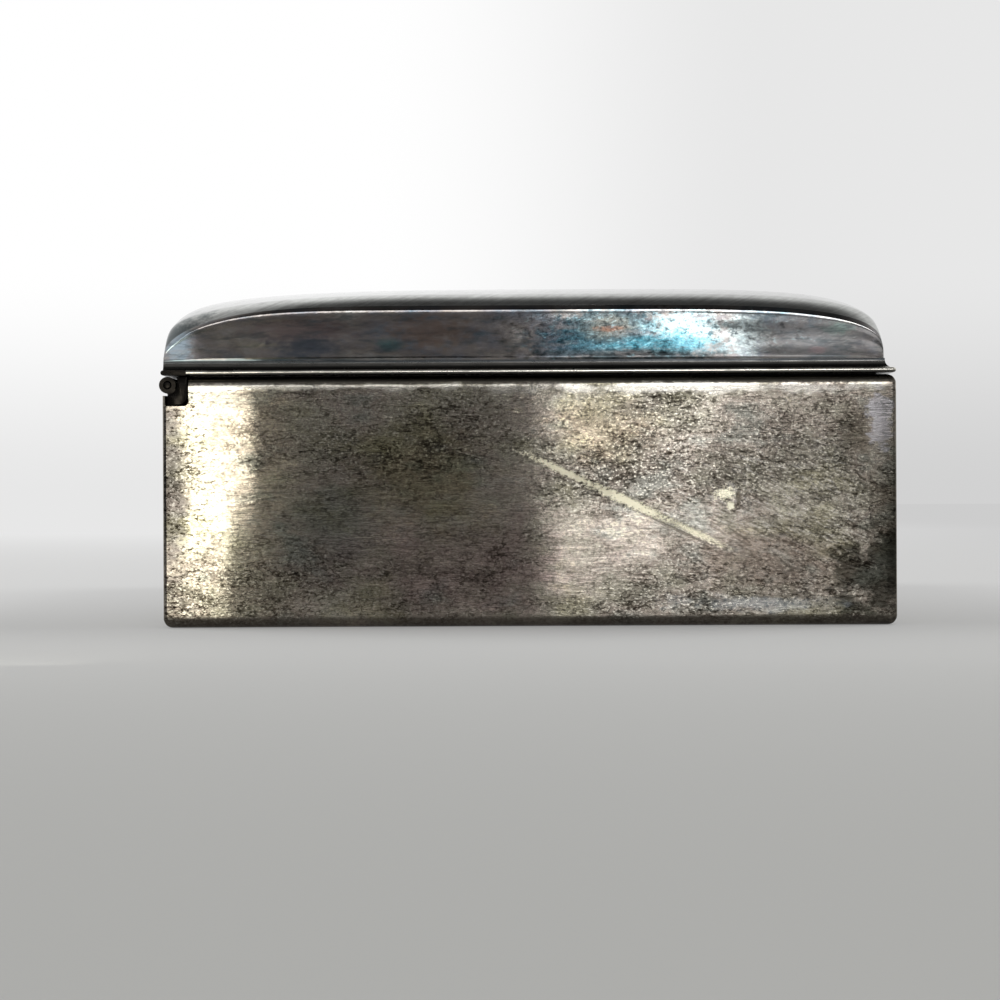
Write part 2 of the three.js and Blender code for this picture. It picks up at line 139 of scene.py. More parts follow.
class Side(Enum):
    """The four sides of the case, as turns about the upright axis from the front."""

    FRONT = 0
    RIGHT = 90
    REAR = 180
    LEFT = 270

    def half_run(self, sizes: Measures) -> float:
        """Returns half the length of this side."""
        return sizes.half_length if self.value % 180 == 0 else sizes.half_depth

    def reach(self, sizes: Measures) -> float:
        """Returns the distance from the middle of the box to this side's face."""
        return sizes.half_depth if self.value % 180 == 0 else sizes.half_length

    def brush(self) -> Vector:
        """Returns the level direction along this side, in which its metal is brushed."""
        return ALONG if self.value % 180 == 0 else BACK

    def rear_end(self) -> int:
        """Returns which end of a left or right strip is the rear one, or 0 for another side."""
        return {Side.LEFT: -1, Side.RIGHT: 1}.get(self, 0)


# Meshes


def every(mesh: Mesh) -> list:
    """Returns all vertices, edges and faces of a mesh, for an operator."""
    return mesh.verts[:] + mesh.edges[:] + mesh.faces[:]


class SectionPen:
    """Draws a closed section, as (depth, height), in the YZ plane of a mesh."""

    HOLD = 0.3
    ARC_STEPS = 10

    def __init__(self, mesh: Mesh, along: float, start: tuple[float, float]) -> None:
        """Puts the pen down.

        Args:
            mesh: Mesh that the section is drawn in.
            along: Place of the section along X.
            start: First corner of the section.
        """
        self.mesh = mesh
        self.along = along
        self.tip = mesh.verts.new((along, *start))
        self.points = [self.tip]

    def _step(self, depth: float, height: float) -> None:
        """Draws one straight stretch.

        Args:
            depth: Depth of its far end.
            height: Height of its far end.
        """
        self.tip = bmesh.ops.extrude_vert_indiv(self.mesh, verts=[self.tip])["verts"][0]
        self.tip.co = (self.along, depth, height)
        self.points.append(self.tip)

    def line(self, depth: float, height: float) -> "SectionPen":
        """Draws a straight line, with a point near each end that keeps the flat crisp.

        Args:
            depth: Depth of its far end.
            height: Height of its far end.

        Returns:
            The pen.
        """
        start = Vector((self.tip.co.y, self.tip.co.z))
        end = Vector((depth, height))
        length = (end - start).length
        if length > 4 * self.HOLD:
            for share in (self.HOLD / length, 1 - self.HOLD / length):
                self._step(*start.lerp(end, share))
        self._step(depth, height)
        return self

    def arc(self, centre: tuple[float, float], degrees: float, steps: int = ARC_STEPS) -> "SectionPen":
        """Draws an arc round a centre.

        Args:
            centre: Centre of the arc, as (depth, height).
            degrees: Turn of the arc, positive from depth towards height.
            steps: Number of its segments.

        Returns:
            The pen.
        """
        before = set(self.mesh.verts)
        bmesh.ops.spin(
            self.mesh, geom=[self.tip], cent=(self.along, *centre), axis=(1, 0, 0),
            angle=math.radians(degrees), steps=steps, use_merge=False, use_duplicate=False,
        )
        drawn = [vert for vert in self.mesh.verts if vert not in before]
        self.points.extend(drawn)
        self.tip = drawn[-1]
        return self

    def edges(self) -> list[Edge]:
        """Closes the outline and returns its edges."""
        if (self.tip.co - self.points[0].co).length < CUT_TOLERANCE:
            bmesh.ops.pointmerge(self.mesh, verts=[self.points[0], self.tip], merge_co=self.points[0].co)
            self.points = [point for point in self.points if point.is_valid]
        else:
            self.mesh.edges.new((self.tip, self.points[0]))
        known = set(self.points)
        return [edge for edge in self.mesh.edges if known.issuperset(edge.verts)]

    def face(self) -> list[Face]:
        """Closes the outline and returns the flat face inside it."""
        return bmesh.ops.contextual_create(self.mesh, geom=self.edges())["faces"]


def draw_out(mesh: Mesh, faces: list[Face], vector: Sequence[float]) -> None:
    """Draws faces out to a closed bar.

    Args:
        mesh: Mesh that holds the faces.
        faces: The faces of the section.
        vector: Direction and length of the bar.
    """
    out = bmesh.ops.extrude_face_region(mesh, geom=faces, use_keep_orig=True)
    moved = [item for item in out["geom"] if isinstance(item, Vert)]
    bmesh.ops.translate(mesh, verts=moved, vec=vector)
    bmesh.ops.recalc_face_normals(mesh, faces=mesh.faces[:])


def cross_cuts(mesh: Mesh, normal: Sequence[float], places: Iterable[float]) -> None:
    """Cuts a mesh into more faces along parallel planes, without changing its shape.

    Args:
        mesh: Mesh to cut.
        normal: Unit normal of the planes.
        places: Distances of the planes from the origin.
    """
    for place in places:
        bmesh.ops.bisect_plane(
            mesh, geom=every(mesh), dist=CUT_TOLERANCE,
            plane_co=Vector(normal) * place, plane_no=normal,
        )


def trim(mesh: Mesh, point: Sequence[float], normal: Sequence[float]) -> None:
    """Saws off what lies beyond a plane and closes the cut.

    Args:
        mesh: Mesh to saw.
        point: A point of the plane.
        normal: Direction of the side that goes.
    """
    sawn = bmesh.ops.bisect_plane(
        mesh, geom=every(mesh), dist=CUT_TOLERANCE, plane_co=point, plane_no=normal, clear_outer=True,
    )
    rim = [item for item in sawn["geom_cut"] if isinstance(item, Edge)]
    bmesh.ops.holes_fill(mesh, edges=rim, sides=0)


def notch(
    mesh: Mesh, first: tuple[Vector, Vector], second: tuple[Vector, Vector], radius: float = 0.0
) -> None:
    """Takes out the corner that lies beyond two planes at once, and closes the cut.

    Args:
        mesh: Mesh of one bar.
        first: Point and outward normal of one plane.
        second: Point and outward normal of the other.
        radius: Round of the inner corner, or 0 for a sharp one.
    """
    for point, normal in (first, second):
        bmesh.ops.bisect_plane(
            mesh, geom=every(mesh), dist=CUT_TOLERANCE, plane_co=point, plane_no=normal,
        )

    def beyond(place: Vector, slack: float) -> bool:
        """Tells whether a place lies beyond both planes."""
        return all((place - point).dot(normal) > slack for point, normal in (first, second))

    gone = [face for face in mesh.faces if beyond(face.calc_center_median(), CUT_TOLERANCE)]
    bmesh.ops.delete(mesh, geom=gone, context="FACES")
    near = 10 * CUT_TOLERANCE
    inner = [
        vert for vert in mesh.verts
        if vert.is_boundary
        and all(abs((vert.co - point).dot(normal)) < near for point, normal in (first, second))
    ]
    line = first[1].cross(second[1])
    inner.sort(key=lambda vert: vert.co.dot(line))
    seams = [
        mesh.edges.get((low, high)) or mesh.edges.new((low, high))
        for low, high in zip(inner[::2], inner[1::2])
    ]
    rim = [edge for edge in mesh.edges if edge.is_boundary or edge.is_wire]
    bmesh.ops.edgenet_fill(mesh, edges=rim)
    bmesh.ops.recalc_face_normals(mesh, faces=mesh.faces[:])
    if radius:
        round_edges(mesh, seams, radius, 6)


def round_edges(mesh: Mesh, edges: list[Edge], offset: float, segments: int) -> None:
    """Rounds edges.

    Args:
        mesh: Mesh that holds the edges.
        edges: Edges to round.
        offset: Width that is taken off each neighbouring face.
        segments: Number of faces across the round.
    """
    bmesh.ops.bevel(
        mesh, geom=edges, offset=offset, offset_type="OFFSET", affect="EDGES",
        segments=segments, profile=0.5, material=-1, clamp_overlap=True,
    )


def sharp_edges(mesh: Mesh, degrees: float = SQUARE_FOLD) -> list[Edge]:
    """Returns the edges that fold by more than some angle."""
    limit = math.radians(degrees)
    return [edge for edge in mesh.edges if edge.is_manifold and edge.calc_face_angle(0) > limit]


def spread(start: float, end: float, pitch: float) -> list[float]:
    """Returns even places from start to end, both left out, no further apart than the pitch."""
    count = max(1, math.ceil((end - start) / pitch))
    return [start + (end - start) * step / count for step in range(1, count)]


@dataclass(frozen=True)
class Waviness:
    """The slight waviness of hand-worked sheet.

    Args:
        depth: Deepest hollow, in millimetres.
        size: Usual distance between hollows.
        seed: Picks the pattern.
        finer: How many times finer the ripples in the hollows are.
        finer_share: Depth of those ripples, as a share.
        steepness: Steepness of the hollows' sides.
    """

    depth: float = 0.04
    size: float = 22.0
    seed: float = 0.0
    finer: float = 2.7
    finer_share: float = 0.35
    steepness: float = 0.6

    def at(self, across: float, up: float) -> float:
        """Works out how deep the sheet lies at a place.

        Args:
            across: Place along the sheet, in millimetres.
            up: Place up the sheet.

        Returns:
            The depth of the hollow, from 0 to the full depth.
        """
        place = Vector((across / self.size, up / self.size, self.seed))
        ripple = noise.noise(place) + self.finer_share * noise.noise(place * self.finer)
        return self.depth * min(max(0.5 + self.steepness * ripple, 0.0), 1.0)


def ease(value: float) -> float:
    """Returns a smooth step from 0 to 1."""
    held = min(max(value, 0.0), 1.0)
    return held * held * (3 - 2 * held)


# Finishes

Value = float | str | Sequence[float] | Socket | None
Settings = dict[str, str]
Parts = Sequence[tuple[Socket, float]]
Layer = tuple[Value, Value, Settings]

TIMES: Settings = {"operation": "MULTIPLY"}
MINUS: Settings = {"operation": "SUBTRACT"}
EASED: Settings = {"interpolation_type": "SMOOTHSTEP"}
PAINTED: Settings = {"data_type": "RGBA", "blend_type": "MIX"}
DARKENED: Settings = {"data_type": "RGBA", "blend_type": "MULTIPLY"}


def linear(code: str) -> tuple[float, float, float, float]:
    """Turns an sRGB hex colour into linear light.

    Args:
        code: Colour such as "#8a7a66".

    Returns:
        Red, green, blue and an alpha of 1.
    """
    parts = [int(code[place:place + 2], 16) / 255 for place in (1, 3, 5)]
    light = [part / 12.92 if part <= 0.04045 else ((part + 0.055) / 1.055) ** 2.4 for part in parts]
    return (*light, 1.0)


def fill(socket: Socket, value: Value) -> None:
    """Gives a node's input a link, a value or a hex colour, or leaves it as it is for None."""
    if isinstance(value, Socket):
        socket.id_data.links.new(value, socket)
    elif value is not None:
        socket.default_value = linear(value) if isinstance(value, str) else value


@dataclass
class Nodes:
    """The nodes of a material or of the room, and the patterns made of them.

    Args:
        tree: Node tree that holds them.
    """

    tree: bpy.types.NodeTree

    def add(
        self,
        kind: str,
        inputs: Sequence[Value] = (),
        settings: Settings | None = None,
        output: str = "",
        stops: Sequence[tuple[float, str]] = (),
    ) -> Socket:
        """Adds a node with its settings, its input values or links, and its colour stops.

        Args:
            kind: Type of the node, after its "ShaderNode".
            inputs: What goes into the inputs that the settings leave in use, in their order.
            settings: Properties of the node.
            output: Name of the output that is wanted, where it isn't the first in use.
            stops: Place and hex colour of each stop of a colour ramp.

        Returns:
            The output.
        """
        added = self.tree.nodes.new(f"ShaderNode{kind}")
        for name, value in (settings or {}).items():
            setattr(added, name, value)
        in_use = [socket for socket in added.inputs if socket.enabled]
        for socket, value in zip(in_use, inputs):
            fill(socket, value)
        if stops:
            ramp = added.color_ramp
            while len(ramp.elements) < len(stops):
                ramp.elements.new(1.0)
            for element, (place, code) in zip(ramp.elements, stops):
                element.position = place
                element.color = linear(code)
        if output:
            return added.outputs[output]
        return next(socket for socket in added.outputs if socket.enabled)

    @cached_property
    def place(self) -> Socket:
        """Place on the piece, in millimetres."""
        metres = self.add("TexCoord", output="Object")
        return self.add("VectorMath", (metres, 1 / MM), {"operation": "SCALE"})

    def grain(
        self, size: Sequence[float], detail: float, roughness: float, turn: float = 0.0,
        shift: Sequence[float] = (0.0, 0.0, 0.0),
    ) -> Socket:
        """Adds a noise whose marks have a real size.

        Args:
            size: Size of a mark along each axis, in millimetres.
            detail: Octaves of finer marks.
            roughness: Strength of the finer marks.
            turn: Turn of the marks about X, in degrees.
            shift: Shift of the pattern, in millimetres, before it is scaled.

        Returns:
            The noise, from 0 to 1 about 0.5.
        """
        turned = self.add("Mapping", (self.place, shift, (math.radians(turn), 0.0, 0.0)))
        scaled = self.add("VectorMath", (turned, size), {"operation": "DIVIDE"})
        return self.add("TexNoise", (scaled, 1.0, detail, roughness))

    def sum_of(self, start: Value, parts: Parts) -> Socket:
        """Adds values to a start value.

        Args:
            start: Value or link that they are added to.
            parts: The values, each with its own strength.

        Returns:
            The sum.
        """
        total = start
        for value, strength in parts:
            total = self.add("Math", (value, strength, total), {"operation": "MULTIPLY_ADD"})
        return total

    def noise_sum(self, middle: float, parts: Parts) -> Socket:
        """Adds noises, each times its own strength, so that their sum lies about a middle value."""
        return self.sum_of(middle - sum(strength for _, strength in parts) / 2, parts)

    def layered(self, base: Value, layers: Iterable[Layer]) -> Socket:
        """Lays tints over a colour, each by its share and in its own way of blending."""
        for share, tint, blending in layers:
            base = self.add("Mix", (share, base, tint), blending)
        return base

    def bent_by(self, marks: Parts) -> Socket:
        """Returns a normal bent by marks, each with its height in millimetres."""
        return self.add("Bump", (1.0, MM, None, self.sum_of(0.0, marks)))

    def levelled(self, bent: Socket, tangent: Socket, kept: float) -> Socket:
        """Takes most of a normal's lean along the brush lines away: brushing tilts metal up and down.

        Args:
            bent: Normal bent by the marks.
            tangent: Direction of the brush lines.
            kept: Share of the lean along the lines that stays.

        Returns:
            The normal.
        """
        lean = self.add("VectorMath", (bent, tangent), {"operation": "DOT_PRODUCT"})
        taken = self.add("Math", (lean, 1 - kept), TIMES)
        along = self.add("VectorMath", (tangent, taken), {"operation": "SCALE"})
        straight = self.add("VectorMath", (bent, along), MINUS)
        return self.add("VectorMath", (straight,), {"operation": "NORMALIZE"})


def new_material(name: str) -> tuple[bpy.types.Material, Nodes, bpy.types.Node]:
    """Makes a material.

    Args:
        name: Name of the material.

    Returns:
        The material, its nodes and its surface shader.
    """
    made = bpy.data.materials.new(name)
    made.use_nodes = True
    return made, Nodes(made.node_tree), made.node_tree.nodes["Principled BSDF"]


@dataclass(frozen=True)
class Stain:
    """A ragged patch of another tint on an end of the box.

    Args:
        place: Its middle, as (depth, height) in millimetres.
        reach: Half its width and half its height.
        tint: Colour of the patch, or None where it only marks a place.
        strength: Share of the tint, up to 1.
        turn: Turn of its width, in degrees from depth towards height.
        soft: Width of its soft edge, as a share of its reach.
        rag: Raggedness of its edge.
    """

    place: tuple[float, float]
    reach: tuple[float, float]
    tint: str | None = None
    strength: float = 0.8
    turn: float = 0.0
    soft: float = 0.6
    rag: float = 1.4

    def share(self, nodes: Nodes, rough: Socket) -> Socket:
        """Adds the nodes that draw the patch.

        Args:
            nodes: Nodes of the material.
            rough: Noise that makes the edge ragged.

        Returns:
            How much of the patch shows, from 0 to its strength.
        """
        offset = nodes.add("VectorMath", (nodes.place, (0, *self.place)), MINUS)
        about_middle = (offset, (0, 0, 0), -math.radians(self.turn))
        turned = nodes.add("VectorRotate", about_middle, {"rotation_type": "X_AXIS"})
        scaled = nodes.add("VectorMath", (turned, (0, 1 / self.reach[0], 1 / self.reach[1])), TIMES)
        away = nodes.add("VectorMath", (scaled,), {"operation": "LENGTH"})
        ragged = nodes.sum_of(away, [(rough, 2 * self.rag)])
        inner, outer = 1 + self.rag - self.soft, 1 + self.rag + self.soft
        return nodes.add("MapRange", (ragged, inner, outer, self.strength, 0.0), EASED)


@dataclass(frozen=True)
class Finish(ABC):
    """A surface finish that can make its own material.

    Args:
        name: Name of the material.
    """

    name: str

    @abstractmethod
    def surface(self, nodes: Nodes) -> dict[str, Value]:
        """Adds the finish's nodes.

        Args:
            nodes: Nodes of the material.

        Returns:
            What goes into the shader, by the names of its inputs.
        """

    def material(self) -> bpy.types.Material:
        """Returns the finish's material, made once."""
        known = bpy.data.materials.get(self.name)
        if known:
            return known
        made, nodes, shader = new_material(self.name)
        for name, value in self.surface(nodes).items():
            fill(shader.inputs[name], value)
        return made


@dataclass(frozen=True)
class BrushedTarnishedSilver(Finish):
    """Silver sheet, hand-brushed level, left to tarnish and etched by it.

    Fine pits and bright grains break up every highlight, under brown, olive and grey clouds with thin
    curled dark lines. A painted highlight, with some rubbing wear, runs along the start of the upper bend,
    and the upper part of the rolled rim under the lid's flange and the lower bend are painted dark:
    painted shade.

    Args:
        rim: Height at which the upper bend begins.
        foot: Height at which the lower bend ends.
        pit: Colour of the tarnish in pits, scuffs and thin lines.
        stains: Patches on the end of the box.
        rubs_and_highlights: Patches painted bright: rubbing wear, and the painted highlight along the
            start of the upper bend.
        uneven: How much the tarnish varies from place to place.
        lined: Strength of the long brush lines in the tarnish.
        etching: Strength of the pits and bright grains.
        curls: Strength of the thin curled lines.
        etched: Patches with a coarser, sparkling grain.
        scuffed: Patches with fine slanted scuffs.
        marks: Scratches and pits that show bare metal, a dark line along the scratch, and a painted shadow
            beside the pit.
    """

    rim: float = 47.6
    foot: float = 2.0
    pit: str = "#6a645a"
    stains: tuple[Stain, ...] = ()
    # The default patch is a painted highlight along the start of the upper bend, with some rubbing wear.
    rubs_and_highlights: tuple[Stain, ...] = (Stain((0, 47.2), (150, 0.7), "#efeae0", 0.7),)
    uneven: float = 0.4
    lined: float = 0.7
    etching: float = 0.15
    curls: float = 0.0
    etched: tuple[Stain, ...] = ()
    scuffed: tuple[Stain, ...] = ()
    marks: tuple[Stain, ...] = ()

    def surface(self, nodes: Nodes) -> dict[str, Value]:
        """Adds the finish's nodes.

        Args:
            nodes: Nodes of the material.

        Returns:
            What goes into the shader, by the names of its inputs.
        """
        # Real brush lines and etched grains are under 0.1 mm. These are as coarse as they need to show.
        lines = nodes.grain((38, 38, 0.34), 3, 0.6)
        dashes = nodes.grain((3.4, 3.4, 0.6), 2, 0.6)
        grit = nodes.grain((1.0, 1.0, 0.55), 3, 0.75, shift=(5, 5, 5))
        grains = nodes.grain((0.6, 0.6, 0.4), 2, 0.6, shift=(9, 30, 2))
        ripple = nodes.grain((8, 8, 2.4), 3, 0.55)
        clouds = nodes.grain((26, 26, 14), 5, 0.6)
        tint = nodes.grain((15, 15, 9), 4, 0.6, shift=(40, 7, 3))
        rough = nodes.grain((7, 7, 4), 5, 0.65, shift=(3, 60, 9))
        clouded = [(clouds, 1.6), (ripple, 0.6), (rough, 0.9), (grit, 0.8)]
        uneven = [(cloud, strength * self.uneven) for cloud, strength in clouded]
        tarnish = nodes.noise_sum(0.5, [*uneven, (lines, self.lined)])
        metal = nodes.add(
            "ValToRGB", (tarnish,),
            stops=[
                (0.0, "#dcd9cd"), (0.3, "#b3aea1"), (0.55, "#918c81"), (0.8, "#68645b"), (1.0, "#3e3c37"),
            ],
        )
        hue = nodes.add(
            "ValToRGB", (tint,),
            stops=[(0.34, "#807f5f"), (0.44, "#82817b"), (0.56, "#88787c"), (0.66, "#707b84")],
        )
        layers = [(0.48 * self.uneven, hue, {"data_type": "RGBA", "blend_type": "OVERLAY"})]
        pitting = nodes.sum_of(0.0, [(grit, 0.7), (dashes, 0.3)])
        layers += self._etching(nodes, clouds, grains, pitting, rough)
        layers += self._scuffs(nodes, rough)
        layers += [(stain.share(nodes, rough), stain.tint, DARKENED) for stain in self.stains]
        # Rubbing wear and painted highlights.
        layers += [(rub_and_highlight.share(nodes, rough), rub_and_highlight.tint, PAINTED) for rub_and_highlight in self.rubs_and_highlights]
        up = nodes.add("SeparateXYZ", (nodes.place,), output="Z")
        wander = nodes.sum_of(up, [(rough, 1.6), (grit, 0.8)])
        # Painted shade: the upper part of the rolled rim, under the lid's flange, is painted dark.
        black = nodes.add("MapRange", (wander, self.rim + 1.55, self.rim + 2.1, 0.0, 1.0), EASED)
        # Painted shade: the lower bend near the foot is painted dark.
        low = nodes.add("MapRange", (wander, self.foot + 0.6, self.foot + 1.8, 0.75, 0.0), EASED)
        layers += [(black, "#66625a", PAINTED), (low, "#45403a", PAINTED)]
        roughness = nodes.add("MapRange", (tarnish, 0.1, 0.9, 0.1, 0.16), EASED)
        relief = [(lines, 0.003), (ripple, 0.015), (dashes, 0.025), (grit, 0.012), (grains, 0.008)]
        for mark in self.marks:
            share = mark.share(nodes, grit)
            layers.append((share, mark.tint, PAINTED))
            roughness = nodes.add("Mix", (share, roughness, 0.3), {"data_type": "FLOAT"})
            relief.append((share, -0.05))
        tangent = nodes.add("Tangent", (), {"direction_type": "UV_MAP", "uv_map": "Brush"})
        return {
            "Base Color": nodes.layered(metal, layers),
            "Roughness": roughness,
            "Normal": nodes.levelled(nodes.bent_by(relief), tangent, 0.3),
            "Tangent": tangent,
            "Metallic": 1.0,
            "Anisotropic": 1.0,
            "Anisotropic Rotation": 0.25,
        }

    def _etching(
        self, nodes: Nodes, clouds: Socket, grains: Socket, pitting: Socket, rough: Socket
    ) -> list[Layer]:
        """Adds the bright grains, the pits and the thin curled lines.

        Args:
            nodes: Nodes of the material.
            clouds: Noise that strengthens them from place to place.
            grains: Noise of the bright grains.
            pitting: Noise of the pits.
            rough: Noise that makes the patches ragged.

        Returns:
            Their layers.
        """
        weak, strong = 0.35 * self.etching, 0.8 * self.etching
        coarse = nodes.add("MapRange", (clouds, 0.35, 0.6, weak, strong), EASED)
        coarse = nodes.sum_of(coarse, [(patch.share(nodes, rough), 1.0) for patch in self.etched])
        bright = nodes.add("MapRange", (grains, 0.5, 0.7, 0.0, 0.4), EASED)
        pits = nodes.add("MapRange", (pitting, 0.5, 0.62, 0.0, 0.9), EASED)
        curl = nodes.grain((6, 6, 2.6), 4, 0.6, shift=(90, 4, 1))
        line = nodes.add("Math", (curl, 0.5, 0.015), {"operation": "COMPARE"})
        thin = nodes.add("MapRange", (line, 0.0, 1.0, 0.0, self.curls), EASED)
        masked = nodes.add("MapRange", (clouds, 0.4, 0.6, 0.45, 1.0), EASED)
        return [
            (nodes.add("Math", (bright, coarse), TIMES), "#f2eddf", PAINTED),
            (nodes.add("Math", (pits, coarse), TIMES), self.pit, DARKENED),
            (nodes.add("Math", (thin, masked), TIMES), self.pit, DARKENED),
        ]

    def _scuffs(self, nodes: Nodes, rough: Socket) -> list[Layer]:
        """Adds the pale and dark strokes of the scuffed patches.

        Args:
            nodes: Nodes of the material.
            rough: Noise that makes the patches ragged.

        Returns:
            Their layers.
        """
        layers = []
        slanted = nodes.grain((2.6, 2.6, 0.5), 3, 0.65, turn=-27)
        for patch in self.scuffed:
            share = patch.share(nodes, rough)
            pale = nodes.add("MapRange", (slanted, 0.5, 0.7, 0.0, 0.45), EASED)
            deep = nodes.add("MapRange", (slanted, 0.5, 0.34, 0.0, 0.8), EASED)
            layers.append((nodes.add("Math", (share, pale), TIMES), patch.tint, PAINTED))
            layers.append((nodes.add("Math", (share, deep), TIMES), self.pit, DARKENED))
        return layers


@dataclass(frozen=True)
class FilmedSilver(Finish):
    """Smooth silver sheet under a thin tarnish film, whose thickness shows as brown, blue and teal.

    Args:
        film: Usual thickness of the film, from 0 for none to 1.
        variety: How much the film's thickness varies from place to place.
        scratched: Strength of the fine wiping scratches in the film.
        smears: Strength of the level smears over the stains.
        speckled: Patches broken up by dark and pale specks.
        stains: Patches on an end of the box and on the cushion: film colours, with a painted highlight on
            the left end and a painted dark reflection on the cushion.
    """

    film: float = 0.35
    variety: float = 1.1
    scratched: float = 0.12
    smears: float = 0.0
    speckled: tuple[Stain, ...] = ()
    stains: tuple[Stain, ...] = ()

    def surface(self, nodes: Nodes) -> dict[str, Value]:
        """Adds the finish's nodes.

        Args:
            nodes: Nodes of the material.

        Returns:
            What goes into the shader, by the names of its inputs.
        """
        broad = nodes.grain((15, 15, 8), 4, 0.6)
        fine = nodes.grain((2.2, 2.2, 1.4), 4, 0.65)
        # Real wiping scratches are finer. These are as coarse as they need to show.
        scratches = nodes.grain((26, 26, 0.4), 3, 0.7, turn=24)
        smear = nodes.grain((8, 8, 1.6), 4, 0.68, shift=(4, 1, 7))
        specks = nodes.grain((1.3, 1.3, 0.9), 4, 0.8, shift=(2, 8, 5))
        parts = [(broad, self.variety), (fine, 0.3), (scratches, self.scratched)]
        metal = nodes.add(
            "ValToRGB", (nodes.noise_sum(self.film + 0.1, parts),),
            stops=[
                (0.0, "#cdcfcc"), (0.2, "#a6a6a4"), (0.38, "#86807b"), (0.5, "#7a787b"),
                (0.6, "#6e767e"), (0.74, "#6b868d"), (0.88, "#9fb5b9"), (1.0, "#9c9b9f"),
            ],
        )
        wiped = nodes.add("MapRange", (smear, 0.5, 0.66, 0.0, 0.4 * self.smears), EASED)
        dimmed = nodes.add("MapRange", (smear, 0.5, 0.36, 0.0, 0.5 * self.smears), EASED)
        dark = nodes.add("MapRange", (specks, 0.5, 0.62, 0.0, 1.0), EASED)
        pale = nodes.add("MapRange", (specks, 0.46, 0.36, 0.0, 1.0), EASED)
        layers = [(stain.share(nodes, fine), stain.tint, PAINTED) for stain in self.stains]
        layers += [(wiped, "#989290", PAINTED), (dimmed, "#48555a", PAINTED)]
        lightened = {"data_type": "RGBA", "blend_type": "SCREEN"}
        for patch in self.speckled:
            share = patch.share(nodes, fine)
            layers.append((nodes.add("Math", (share, dark), TIMES), "#6a747a", DARKENED))
            layers.append((nodes.add("Math", (share, pale), TIMES), patch.tint, lightened))
        return {
            "Base Color": nodes.layered(metal, layers),
            "Roughness": nodes.add("MapRange", (fine, 0.3, 0.75, 0.06, 0.12), EASED),
            "Normal": nodes.bent_by([(scratches, 0.003), (fine, 0.004), (broad, 0.02)]),
            "Metallic": 1.0,
        }


@dataclass(frozen=True)
class DrawnSilver(Finish):
    """Silver drawn through a plate: long fine lines and dark blotches, tarnish on the moulding, with a
    painted highlight on its crest.

    Args:
        dark: Darkest colour: the heaviest tarnish on the moulding, nearly black on the hinge.
        light: Lightest colour: the lightest tarnish on the moulding, nearly black on the hinge.
        crest: Heights between which a painted highlight is laid on, or None.
        step_darkened_from: Height above which the step under the lid's panels is darkened, where there is
            a crest.
    """

    dark: str = "#383837"
    light: str = "#6c6a66"
    crest: tuple[float, float] | None = None
    step_darkened_from: float = 52.2

    def surface(self, nodes: Nodes) -> dict[str, Value]:
        """Adds the finish's nodes.

        Args:
            nodes: Nodes of the material.

        Returns:
            What goes into the shader, by the names of its inputs.
        """
        blotches = nodes.grain((6, 6, 1.4), 4, 0.65)
        lines = nodes.grain((30, 30, 0.3), 3, 0.6)
        tarnish = nodes.noise_sum(0.45, [(blotches, 1.3), (lines, 0.5)])
        layers = [(nodes.add("MapRange", (tarnish, 0.0, 1.0, 0.0, 1.0), EASED), self.dark, PAINTED)]
        if self.crest:
            low, high = self.crest
            up = nodes.add("SeparateXYZ", (nodes.place,), output="Z")
            over = nodes.add("MapRange", (up, low - 0.1, low, 0.0, 1.0), EASED)
            under = nodes.add("MapRange", (up, high, high + 0.1, 1.0, 0.0), EASED)
            patchy_highlight = nodes.add("MapRange", (blotches, 0.3, 0.5, 0.3, 1.0), EASED)
            band = nodes.add("Math", (over, under), TIMES)
            step = nodes.add("MapRange", (up, self.step_darkened_from, self.step_darkened_from + 0.3, 0.0, 0.8), EASED)
            # Painted highlight along the flange's crest.
            layers.append((nodes.add("Math", (band, patchy_highlight), TIMES), "#f1ede2", PAINTED))
            # The step under the lid's panels is darkened.
            layers.append((step, "#33373b", PAINTED))
        return {
            "Base Color": nodes.layered(self.light, layers),
            "Roughness": nodes.add("MapRange", (blotches, 0.3, 0.7, 0.16, 0.3), EASED),
            "Normal": nodes.bent_by([(lines, 0.008), (blotches, 0.01)]),
            "Metallic": 1.0,
        }


